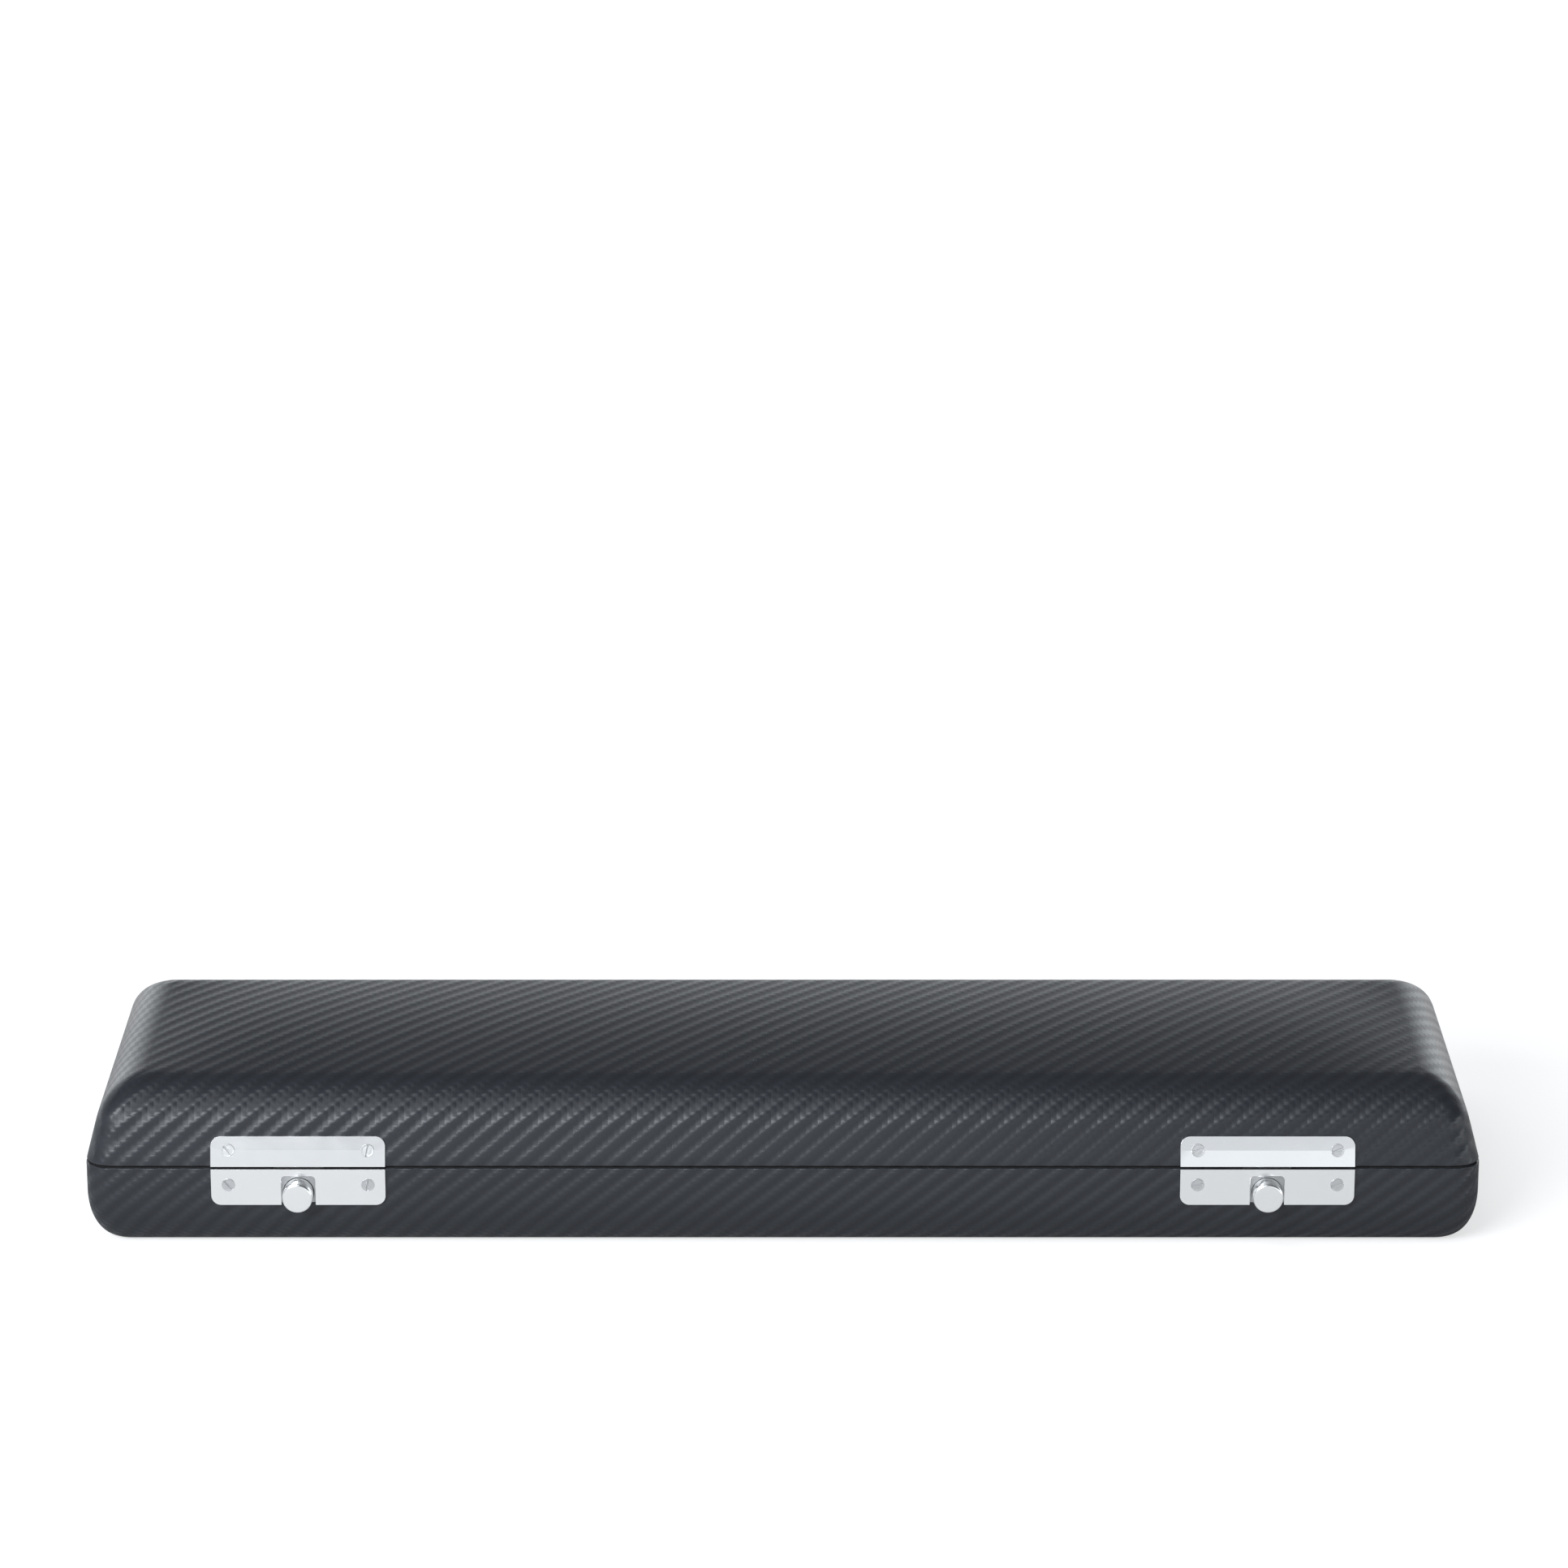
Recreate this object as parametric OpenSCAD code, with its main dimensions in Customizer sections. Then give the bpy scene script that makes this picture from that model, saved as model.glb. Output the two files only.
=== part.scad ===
// Hard flute case: a covered wooden box in two halves with a hinged lid, two push-button latches
// and a shaped, plush-lined interior for a flute taken apart in three pieces.
// Millimetres, +Z up. The origin is the middle of the underside. The latches are on the -Y side.

/* [Case] */
// Length of the covered case
case_l = 425; // [405:1:470]
// Depth of the covered case, front to back
case_w = 117; // [112:1:135]
// Height of the seam above the ground
base_h = 26.2; // [24:0.2:34]
// Height of the lid above the seam
lid_h = 26.3; // [24:0.2:34]
// Corner radius in plan at the seam
corner_r = 8.2; // [6:0.2:12]

/* [Lid shape] */
// Lean of the lid's lower wall away from upright, in degrees
lid_lean = 14.4; // [10:0.1:18]
// Radius of the shoulder between the leaning wall and the crown
shoulder_r = 15.8; // [13:0.2:17]
// Slope of the crown at its edge, in degrees
crown_slope = 4.6; // [2:0.1:6]
// Corner radius in plan where the shoulder meets the crown
shoulder_corner_r = 4.4; // [2:0.2:8]
// How much further the ends of the lid lean in than its long sides
end_inset = 0.3; // [0:0.1:3]

/* [Base shape] */
// Height of the base's upright wall below the seam
base_wall_h = 9.7; // [9.5:0.1:13]
// Width of the rounding along the bottom edge
bottom_round_w = 8.8; // [7:0.1:11]
// Width of the covering's margin turned in under the base
cover_margin = 5; // [3:0.5:12]

/* [Layers] */
// Thickness of the covering
cover_t = 0.8; // [0.6:0.1:1]
// Thickness of the wooden shells
wood_t = 4; // [3:0.25:4.5]
// Glue line between the covering and the wood
glue_t = 0.05; // [0.03:0.01:0.1]
// Gap between the two wooden rims at the seam
rim_gap = 0.2; // [0.1:0.05:0.4]
// How far each covering stops short of its wooden rim
cover_setback = 0.2; // [0:0.05:0.5]
// Thickness of the panel glued to the underside
panel_t = 0.8; // [0.6:0.1:1]
// How far the panel stands below the covering
panel_proud = 0.2; // [0.1:0.05:0.4]

/* [Interior] */
// Clearance around the lining pieces
lining_gap = 0.3; // [0.2:0.05:0.5]
// Depth of the insert's top below the seam
insert_drop = 3; // [1:0.5:5]
// Height of the lining lip above the seam
lip_rise = 2.5; // [1.5:0.25:4]
// Thickness of the lining lip
lip_t = 2.2; // [1.5:0.1:3]
// Thickness of the lid's padded lining
pad_t = 3; // [2:0.25:4]
// Depth of the tube channels' bottom below the seam
channel_depth = 18.2; // [15:0.2:19]
// Radius of the tube channels
channel_r = 10.5; // [9.5:0.1:11]
// Depth of the key pockets' bottom below the seam
pocket_depth = 10.4; // [8:0.2:13]
// Thickness of the walls between the cavities
divider_t = 6; // [4:0.5:8]
// Length of the cavity for the body of the flute
body_cavity_l = 368; // [340:1:370]
// Width of the body's key pocket
body_pocket_w = 44; // [36:1:46]
// Length of the body's key pocket
body_pocket_l = 330; // [280:1:340]
// Length of the cavity for the headjoint
head_cavity_l = 232; // [215:1:232]
// Width of the pocket for the lip plate
lip_pocket_w = 32; // [28:1:36]
// Length of the pocket for the lip plate
lip_pocket_l = 48; // [40:1:60]
// Distance of the lip plate's middle from the headjoint's closed end
lip_pocket_x = 62; // [50:1:80]
// Length of the cavity for the footjoint
foot_cavity_l = 164; // [120:1:164]
// Width of the footjoint's key pocket
foot_pocket_w = 36; // [30:1:37]
// Length of the footjoint's key pocket
foot_pocket_l = 132; // [100:1:136]

/* [Latches] */
// Distance of each latch from the end of the case
latch_end = 65.2; // [48:0.1:92]
// Width of the latch plates
plate_w = 53; // [46:0.5:60]
// Height of the plate on the base
base_plate_h = 11.55; // [11:0.05:13]
// Height of the plate on the lid, along its leaning wall
lid_plate_h = 9.3; // [8.5:0.1:10]
// Thickness of the latch plates
plate_t = 0.9; // [0.7:0.05:1.2]
// Radius of the plates' outer corners
plate_corner_r = 3; // [1.5:0.1:4]
// Distance from the seam to each plate
plate_gap = 0.3; // [0.2:0.05:0.5]
// Diameter of the push buttons
button_d = 9.2; // [8:0.1:9.6]
// How far a button stands out from its plate
button_proud = 5; // [4:0.1:7]
// Depth of the button's middle below the seam
button_drop = 8; // [7.4:0.1:8.4]
// Travel of a button
button_travel = 2.5; // [1.5:0.1:2.6]
// Width of the notch in the plate around the button
notch_w = 10.4; // [10.2:0.1:12]
// Depth of the notch's top below the seam
notch_top = 2.5; // [1.5:0.1:2.8]
// Diameter of the stem behind the button
stem_d = 3; // [2:0.1:3.4]
// Radial running clearance of the sliding and turning parts
run_clear = 0.05; // [0.02:0.01:0.1]
// Outer width of the latch housing
housing_w = 15; // [14:0.5:20]
// Wall of the latch housing
housing_wall = 1; // [0.8:0.1:1.4]
// Wall of the sleeve around the button
sleeve_wall = 0.6; // [0.4:0.05:0.8]
// Width of the keeper's tongue
tongue_w = 10; // [8:0.5:11]
// Depth of the tongue's end below the seam
tongue_drop = 5.6; // [5:0.1:5.8]
// Thickness of the keeper
keeper_t = 1.2; // [0.8:0.1:1.4]
// Thickness of the catch
catch_t = 1; // [0.8:0.1:1.2]
// Clearance between the catch's nose and the keeper's path
catch_clear = 0.2; // [0.15:0.05:0.3]
// Diameter of the spring's wire
wire_d = 0.35; // [0.3:0.01:0.4]

/* [Hinges] */
// Distance of each hinge from the end of the case
hinge_end = 65.2; // [48:0.1:110]
// Width of the hinges
hinge_w = 34; // [28:0.5:44]
// Height of each hinge leaf
leaf_h = 9; // [8:0.1:9.4]
// Thickness of the hinge leaves
leaf_t = 0.9; // [0.7:0.05:1.1]
// Outer radius of the hinge knuckles
knuckle_r = 1.7; // [1.5:0.05:2]
// Number of knuckles on each hinge
knuckle_n = 5; // [3:2:7]
// Gap between neighbouring knuckles
knuckle_gap = 0.3; // [0.2:0.05:0.5]
// Diameter of the hinge pins
hinge_pin_d = 1.6; // [1.2:0.1:2]

/* [Screws] */
// Head diameter of the latch screws
latch_screw_d = 4; // [3:0.1:4.4]
// Head diameter of the hinge screws
hinge_screw_d = 3.2; // [2.6:0.1:3.6]
// Head diameter of the keeper screws
keeper_screw_d = 2.6; // [2:0.1:3]
// Length of the screws below the surface of their plates
screw_l = 4.2; // [3.4:0.1:4.4]
// Distance of the latch screws from the ends of the plates
screw_inset = 5.3; // [4:0.1:8]
// Distance of the latch screws from the seam
screw_seam = 5.3; // [4.5:0.1:6]

/* [Hidden] */

cover_colour = "#36383d";
wood_colour = "#2a2724";
plush_colour = "#1f2024";
plate_colour = "#d9dbde";
spring_colour = "#9a9ca0";

corner_steps = 6;
arc_steps = 6;
crown_steps = 3;
crown_reach = 0.95;
least_r = 0.6;
cut = 1;

half_l = case_l / 2;
half_w = case_w / 2;
latch_x = half_l - latch_end;
hinge_x = half_l - hinge_end;
shell_out = cover_t + glue_t;
shell_in = shell_out + wood_t;
lining_out = shell_in + lining_gap;
lid_rim = rim_gap / 2;
cover_rim = rim_gap / 2 + cover_setback;

// The lid's leaning wall takes up what the shoulder and the crown leave of the lid's height.
lean_tan = tan(lid_lean);
crown_half_tan = tan(crown_slope) / 2;
shoulder_h = shoulder_r * (cos(crown_slope) - sin(lid_lean));
shoulder_w = shoulder_r * (cos(lid_lean) - sin(crown_slope));
lid_wall_h = (lid_h - shoulder_h - (half_w - shoulder_w) * crown_half_tan) / (1 - lean_tan * crown_half_tan);
shoulder_x = lid_wall_h * lean_tan + shoulder_r * cos(lid_lean);
shoulder_z = lid_wall_h - shoulder_r * sin(lid_lean);
lid_inset = shoulder_x - shoulder_r * sin(crown_slope);

// One horizontal outline of the case: a rounded rectangle, drawn in by inset, end_in more at the ends.
function outline(inset, r, z, end_in = 0) = [
    for (c = [0:3], i = [0:corner_steps])
        let (
            a = (c + i / corner_steps) * 90,
            sx = (c == 0 || c == 3) ? 1 : -1,
            sy = c < 2 ? 1 : -1
        )
        [sx * (half_l - inset - end_in - r) + r * cos(a), sy * (half_w - inset - r) + r * sin(a), z]
];

// An outline of the lid's surface at depth t under the covering. share runs from 0 at the seam to 1.
function lid_outline(inset, share, t, h) =
    let (
        r = max(corner_r + (shoulder_corner_r - corner_r) * share - t, least_r),
        room = (half_w - inset) * 0.9
    )
    outline(inset, min(r, room), base_h + h, end_inset * share);
function lid_wall_inset(t, h) = t / cos(lid_lean) + h * lean_tan;
function lid_arc_outline(a, t) =
    lid_outline(
        shoulder_x - (shoulder_r - t) * cos(a),
        (shoulder_x - shoulder_r * cos(a)) / lid_inset,
        t,
        shoulder_z + (shoulder_r - t) * sin(a)
    );
function lid_crown_outline(k, t) =
    let (
        u = shoulder_x - (shoulder_r - t) * sin(crown_slope),
        h = shoulder_z + (shoulder_r - t) * cos(crown_slope),
        reach = half_w - u
    )
    lid_outline(u + reach * k, 1, t, h + reach * crown_half_tan * (1 - (1 - k) * (1 - k)));
// The outlines of the lid's surface at depth t, from height h0 above the seam up to the crown.
function lid_surface(t, h0) = concat(
    [lid_outline(lid_wall_inset(t, h0), 0, t, h0)],
    [for (i = [0:arc_steps]) lid_arc_outline(lid_lean + (90 - crown_slope - lid_lean) * i / arc_steps, t)],
    [for (i = [1:crown_steps]) lid_crown_outline(crown_reach * i / crown_steps, t)]
);

// The outlines of the base's surface at depth t, from depth d0 below the seam down to the flat.
function base_outline(inset, t, d) = outline(inset, max(corner_r - 0.3 * inset - t, least_r), base_h - d);
function base_surface(t, d0, lift = 0) = concat(
    [base_outline(t, t, d0)],
    [for (i = [0:arc_steps])
        let (a = 90 * i / arc_steps)
        base_outline(
            bottom_round_w - (bottom_round_w - t) * cos(a),
            t,
            base_wall_h + (base_h - base_wall_h - t - lift) * sin(a)
        )]
);

function reversed(list) = [for (i = [len(list) - 1:-1:0]) list[i]];

// A closed solid through a stack of outlines, capped at both ends or joined end to end.
module stacked(outlines, joined = false) {
    n = len(outlines[0]);
    m = len(outlines);
    sides = [
        for (j = [0:joined ? m - 1 : m - 2], i = [0:n - 1])
            let (k = (j + 1) % m, q = (i + 1) % n)
            for (f = [[j * n + i, k * n + i, k * n + q], [j * n + i, k * n + q, j * n + q]]) f
    ];
    caps = joined ? [] : [[for (i = [0:n - 1]) i], [for (i = [n - 1:-1:0]) (m - 1) * n + i]];
    polyhedron(points = [for (o = outlines, p = o) p], faces = concat(sides, caps), convexity = 8);
}

// Places on the case: y runs inwards from the covering, z is measured from the seam.
module at_latches() {
    for (x = [-latch_x, latch_x]) at_front(x) children();
}
module at_front(x) {
    translate([x, -half_w, base_h]) children();
}
module on_lid_front(x) {
    translate([x, -half_w, base_h]) rotate([-lid_lean, 0, 0]) children();
}
module at_back(x) {
    translate([x, half_w, base_h]) mirror([0, 1, 0]) children();
}
module on_lid_back(x) {
    translate([x, half_w, base_h]) mirror([0, 1, 0]) rotate([-lid_lean, 0, 0]) children();
}
// A round bar or hole along y.
module along_y(y0, y1, r) {
    translate([0, y0, 0]) rotate([-90, 0, 0]) cylinder(h = y1 - y0, r = r, $fn = 48);
}
module block(x0, x1, y0, y1, z0, z1) {
    translate([x0, y0, z0]) cube([x1 - x0, y1 - y0, z1 - z0]);
}

/* Screws: the head fills a cone in its plate and shows a low band and dome with a slot. */
thread_share = 0.5;
dome_share = 0.1;
head_band = 0.16;
slot_w = 0.5;
hole_clear = 0.05;
module screw(head_d, plate, angle) {
    dome_h = head_d * dome_share;
    dome_r = (head_d * head_d / 4 + dome_h * dome_h) / (2 * dome_h);
    top = plate + head_band;
    difference() {
        union() {
            along_y(-plate / 2, screw_l - plate, head_d * thread_share / 2);
            translate([0, -plate, 0]) rotate([-90, 0, 0])
                cylinder(h = plate, d1 = head_d, d2 = head_d * thread_share, $fn = 48);
            along_y(-top, -plate, head_d / 2);
            intersection() {
                translate([0, dome_r - dome_h - top, 0]) sphere(r = dome_r, $fn = 64);
                along_y(-top - dome_h - cut, -top, head_d / 2);
            }
        }
        rotate([0, angle, 0])
            block(-head_d, head_d, -top - dome_h - cut, -top + head_band / 2, -slot_w / 2, slot_w / 2);
    }
}
module screw_sink(head_d, plate) {
    translate([0, -plate, 0]) rotate([-90, 0, 0])
        cylinder(h = plate, d1 = head_d, d2 = head_d * thread_share, $fn = 48);
    along_y(-plate - cut, -plate, head_d / 2);
    along_y(-cut, cut, head_d * thread_share / 2);
}
module screw_pilot(head_d, plate) {
    along_y(-cut, screw_l - plate + hole_clear, head_d * thread_share / 2 + hole_clear);
}

/* Latch: sizes along y, counted inwards from the front of the covering */
head_back = 1.4;
well_end = head_back + button_travel + 0.2;
chamber_front = well_end + 0.8;
tongue_front = max(shell_in / cos(lid_lean) + 0.35, chamber_front + 0.3);
tongue_back = tongue_front + keeper_t;
nose_front = tongue_back + catch_clear;
nose_l = 1;
catch_front = nose_front + nose_l;
catch_back = catch_front + catch_t;
spring_turns = 3;
spring_l = button_travel + (spring_turns + 1) * wire_d;
chamber_back = catch_back + spring_l;
housing_back = chamber_back + housing_wall;
stem_end = housing_back - 0.3;
button_r = button_d / 2;
well_r = button_r + 2 * run_clear;
sleeve_r = well_r + sleeve_wall;
stem_r = stem_d / 2;
spring_r = stem_r + run_clear + wire_d;
spring_clear = 0.25;
housing_bottom = button_drop + spring_r + wire_d / 2 + spring_clear + housing_wall;
catch_w = 7;
nose_w = 5;
nose_top = 1.6;
nose_h = 1.6;
window_clear = 0.3;
housing_gap = 0.2;
corner_cut_r = 1.3;
housing_pocket_back = stem_end + button_travel + 0.4;

function latch_side(side) = side * latch_x;
function hinge_side(side) = side * hinge_x;

// A plate standing on its straight edge at z = 0, with rounded upper corners.
module flat_plate(w, h, r, t) {
    rotate([90, 0, 0]) linear_extrude(height = t) {
        translate([-w / 2 + r, 0]) square([w - 2 * r, h]);
        translate([-w / 2, 0]) square([w, h - r]);
        for (sx = [-1, 1]) translate([sx * (w / 2 - r), h - r]) circle(r = r, $fn = 64);
    }
}
module notch_shape() {
    w = notch_w / 2;
    translate([-w, -base_plate_h - 2 * cut]) square([notch_w, base_plate_h + 2 * cut - notch_top - corner_cut_r]);
    translate([-w + corner_cut_r, -base_plate_h]) square([notch_w - 2 * corner_cut_r, base_plate_h - notch_top]);
    for (sx = [-1, 1])
        translate([sx * (w - corner_cut_r), -notch_top - corner_cut_r]) circle(r = corner_cut_r, $fn = 48);
}
module latch_screw_places() {
    for (sx = [-1, 1]) translate([sx * (plate_w / 2 - screw_inset), 0, 0]) children();
}
module latch_base_plate(side) {
    color(plate_colour) at_front(latch_side(side)) difference() {
        translate([0, 0, -plate_gap]) mirror([0, 0, 1]) flat_plate(plate_w, base_plate_h, plate_corner_r, plate_t);
        translate([0, cut, 0]) rotate([90, 0, 0]) linear_extrude(height = plate_t + 2 * cut) notch_shape();
        latch_screw_places() translate([0, 0, -screw_seam]) screw_sink(latch_screw_d, plate_t);
    }
}
module latch_lid_plate(side) {
    color(plate_colour) on_lid_front(latch_side(side)) difference() {
        translate([0, 0, plate_gap]) flat_plate(plate_w, lid_plate_h, plate_corner_r, plate_t);
        latch_screw_places() translate([0, 0, screw_seam]) screw_sink(latch_screw_d, plate_t);
    }
}
module latch_base_screws() {
    color(plate_colour) for (side = [-1, 1]) at_front(latch_side(side))
        latch_screw_places() translate([0, 0, -screw_seam]) screw(latch_screw_d, plate_t, 25);
}
module latch_lid_screws() {
    color(plate_colour) for (side = [-1, 1]) on_lid_front(latch_side(side))
        latch_screw_places() translate([0, 0, screw_seam]) screw(latch_screw_d, plate_t, -40);
}

// The housing lets the button through its front, holds the spring and is open above for the tongue.
module latch_housing(side) {
    w = housing_w / 2;
    color(plate_colour) at_front(latch_side(side)) difference() {
        union() {
            block(-w, w, 0, housing_back, -housing_bottom, -rim_gap / 2);
            translate([0, 0, -button_drop]) along_y(0, chamber_front, sleeve_r);
        }
        translate([0, 0, -button_drop]) {
            along_y(-cut, well_end, well_r);
            along_y(0, housing_back + cut, stem_r + run_clear);
        }
        block(-w + housing_wall, w - housing_wall, chamber_front, chamber_back,
            -housing_bottom + housing_wall, cut);
    }
}
module housing_mortise() {
    w = housing_w / 2 + housing_gap;
    block(-w, w, -cut, housing_back + housing_gap, -housing_bottom - housing_gap, lip_rise + cut);
    translate([0, 0, -button_drop]) along_y(-cut, chamber_front + housing_gap, sleeve_r + housing_gap);
}
module latch_button(side) {
    edge = 0.5;
    color(plate_colour) at_front(latch_side(side)) translate([0, -plate_t - button_proud, -button_drop])
        rotate([-90, 0, 0]) {
            translate([0, 0, edge]) cylinder(h = plate_t + button_proud + head_back - edge, r = button_r, $fn = 96);
            cylinder(h = edge, r1 = button_r - edge, r2 = button_r, $fn = 96);
            cylinder(h = plate_t + button_proud + stem_end, r = stem_r, $fn = 48);
        }
}
// The catch rises behind the keeper, and its nose reaches for the keeper's window.
module latch_catch(side) {
    color(spring_colour) at_front(latch_side(side)) difference() {
        union() {
            block(-catch_w / 2, catch_w / 2, catch_front, catch_back,
                -housing_bottom + housing_wall + housing_gap, -nose_top);
            block(-nose_w / 2, nose_w / 2, nose_front, catch_front + catch_t / 2,
                -nose_top - nose_h, -nose_top);
        }
        translate([0, 0, -button_drop]) along_y(catch_front - cut, catch_back + cut, stem_r + run_clear / 2);
    }
}
// The spring is one coiled wire on the stem, between the catch and the housing's back.
spring_sides = 6;
spring_rings = 8;
module button_spring(side) {
    steps = spring_turns * spring_rings;
    y0 = catch_back + wire_d / 2 + hole_clear;
    pitch = (spring_l - wire_d - 2 * hole_clear) / spring_turns;
    rings = [
        for (i = [0:steps])
            let (a = i * 360 / spring_rings, y = y0 + pitch * i / spring_rings)
            [for (k = [0:spring_sides - 1])
                let (b = k * 360 / spring_sides, r = spring_r + wire_d / 2 * cos(b))
                [r * cos(a), y + wire_d / 2 * sin(b), r * sin(a)]]
    ];
    color(spring_colour) at_front(latch_side(side)) translate([0, 0, -button_drop]) stacked(rings);
}
// The keeper's foot lies on the inside of the leaning lid wall; its tongue hangs into the housing.
foot_bottom = (shell_in * sin(lid_lean) + rim_gap) / cos(lid_lean) + 0.1;
foot_top = foot_bottom + 8.5;
keeper_screw_x = 3;
module keeper_screw_places() {
    for (sx = [-1, 1]) translate([sx * keeper_screw_x, shell_in + keeper_t, (foot_bottom + foot_top) / 2 + 1])
        mirror([0, 1, 0]) children();
}
module latch_keeper(side) {
    w = tongue_w / 2;
    window = nose_w / 2 + window_clear;
    color(plate_colour) difference() {
        union() {
            at_front(latch_side(side)) block(-w, w, tongue_front, tongue_back, -tongue_drop, 1.3);
            on_lid_front(latch_side(side)) block(-w, w, shell_in, shell_in + keeper_t, foot_bottom, foot_top);
        }
        at_front(latch_side(side)) block(-window, window, tongue_front - cut, tongue_back + cut,
            -nose_top - nose_h - window_clear, -nose_top + window_clear);
        on_lid_front(latch_side(side)) keeper_screw_places()
            translate([0, keeper_t, 0]) screw_sink(keeper_screw_d, keeper_t);
    }
}
module keeper_screws() {
    color(plate_colour) for (side = [-1, 1]) on_lid_front(latch_side(side)) keeper_screw_places()
        translate([0, keeper_t, 0]) screw(keeper_screw_d, keeper_t, 10);
}

/* Hinges: the axis stands just behind the covering, level with the seam. */
axis_out = knuckle_r + 0.15;
knuckle_pitch = hinge_w / knuckle_n;
web_clear = 0.25;
web_w = knuckle_pitch - knuckle_gap - 0.3;
web_z = 0.5;
leaf_corner_r = 1.2;
hinge_screw_z = leaf_h * 0.6;
module hinge_screw_places() {
    for (k = [-1:1]) translate([k * hinge_w * 0.36, 0, hinge_screw_z]) children();
}
// A leaf on the wall, with a web to each of its own knuckles. first is 0 or 1; up is 1 or -1.
module leaf(first, up) {
    plate_z = knuckle_r + web_clear;
    mirror([0, 0, up > 0 ? 0 : 1]) difference() {
        union() {
            translate([0, 0, plate_z]) flat_plate(hinge_w, leaf_h - plate_z, leaf_corner_r, leaf_t);
            for (i = [first:2:knuckle_n - 1])
                translate([-hinge_w / 2 + (i + 0.5) * knuckle_pitch, 0, 0])
                    block(-web_w / 2, web_w / 2, -leaf_t, 0, web_z, leaf_h / 2);
        }
        hinge_screw_places() screw_sink(hinge_screw_d, leaf_t);
    }
}
module knuckles(first) {
    for (i = [first:2:knuckle_n - 1])
        translate([-hinge_w / 2 + i * knuckle_pitch + knuckle_gap / 2, -axis_out, 0])
            rotate([0, 90, 0]) cylinder(h = knuckle_pitch - knuckle_gap, r = knuckle_r, $fn = 64);
}
module pin_bore(clear) {
    translate([-hinge_w / 2 - cut, -axis_out, 0]) rotate([0, 90, 0])
        cylinder(h = hinge_w + 2 * cut, r = hinge_pin_d / 2 + clear, $fn = 48);
}
module hinge_base_leaf(side) {
    color(plate_colour) at_back(hinge_side(side)) difference() {
        union() {
            leaf(0, -1);
            knuckles(0);
        }
        pin_bore(0);
    }
}
module hinge_lid_leaf(side) {
    color(plate_colour) difference() {
        union() {
            on_lid_back(hinge_side(side)) leaf(1, 1);
            at_back(hinge_side(side)) knuckles(1);
        }
        at_back(hinge_side(side)) pin_bore(run_clear);
    }
}
module hinge_pin(side) {
    color(plate_colour) at_back(hinge_side(side)) translate([-hinge_w / 2, -axis_out, 0])
        rotate([0, 90, 0]) cylinder(h = hinge_w, d = hinge_pin_d, $fn = 48);
}
module hinge_base_screws() {
    color(plate_colour) for (side = [-1, 1]) at_back(hinge_side(side)) mirror([0, 0, 1])
        hinge_screw_places() screw(hinge_screw_d, leaf_t, 30);
}
module hinge_lid_screws() {
    color(plate_colour) for (side = [-1, 1]) on_lid_back(hinge_side(side))
        hinge_screw_places() screw(hinge_screw_d, leaf_t, -20);
}

/* Holes that the fittings need in each half */
module base_fitting_holes() {
    for (side = [-1, 1]) {
        at_front(latch_side(side)) {
            housing_mortise();
            latch_screw_places() translate([0, 0, -screw_seam]) screw_pilot(latch_screw_d, plate_t);
        }
        at_back(hinge_side(side)) mirror([0, 0, 1]) hinge_screw_places() screw_pilot(hinge_screw_d, leaf_t);
    }
}
module lid_fitting_holes() {
    for (side = [-1, 1]) {
        on_lid_front(latch_side(side)) {
            latch_screw_places() translate([0, 0, screw_seam]) screw_pilot(latch_screw_d, plate_t);
            keeper_screw_places() translate([0, keeper_t, 0]) screw_pilot(keeper_screw_d, keeper_t);
        }
        on_lid_back(hinge_side(side)) hinge_screw_places() screw_pilot(hinge_screw_d, leaf_t);
    }
}

/* Shells, covering and lining */
module base_shell() {
    color(wood_colour) difference() {
        stacked(concat(
            reversed(base_surface(shell_in, rim_gap / 2)),
            base_surface(shell_out, rim_gap / 2)
        ));
        base_fitting_holes();
    }
}
module base_cover() {
    edge_in = bottom_round_w + cover_margin;
    outer = base_surface(0, cover_rim, panel_proud);
    inner = base_surface(cover_t, cover_rim);
    color(cover_colour) difference() {
        stacked(concat(
            outer,
            [base_margin(edge_in, panel_proud)],
            [base_margin(edge_in, cover_t)],
            reversed(inner)
        ), joined = true);
        base_fitting_holes();
    }
}
function base_margin(inset, z) = outline(inset, max(corner_r - 0.3 * bottom_round_w, least_r), z);
module base_bottom_panel() {
    inset = bottom_round_w + cover_margin + 0.1;
    r = max(corner_r - 0.3 * bottom_round_w, least_r);
    l = half_l - inset;
    w = half_w - inset;
    color(cover_colour) linear_extrude(height = panel_t) {
        square([2 * l, 2 * (w - r)], center = true);
        square([2 * (l - r), 2 * w], center = true);
        for (sx = [-1, 1], sy = [-1, 1]) translate([sx * (l - r), sy * (w - r)]) circle(r = r, $fn = 48);
    }
}

// A cavity for one piece of the flute: a round-bottomed channel, and a wider pocket beside its keys.
insert_top = base_h - insert_drop;
module channel(x0, x1, y) {
    axis_z = base_h - channel_depth + channel_r;
    translate([x0, y, axis_z]) rotate([0, 90, 0]) cylinder(h = x1 - x0, r = channel_r, $fn = 64);
    block(x0, x1, y - channel_r, y + channel_r, axis_z, base_h + cut);
}
module pocket(x0, x1, y, w) {
    block(x0, x1, y - w / 2, y + w / 2, base_h - pocket_depth, base_h + cut);
}
back_row_y = divider_t / 2 + body_pocket_w / 2;
front_row_y = -divider_t / 2 - max(foot_pocket_w, lip_pocket_w) / 2;
head_x0 = -(head_cavity_l + divider_t + foot_cavity_l) / 2;
foot_x0 = head_x0 + head_cavity_l + divider_t;
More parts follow.
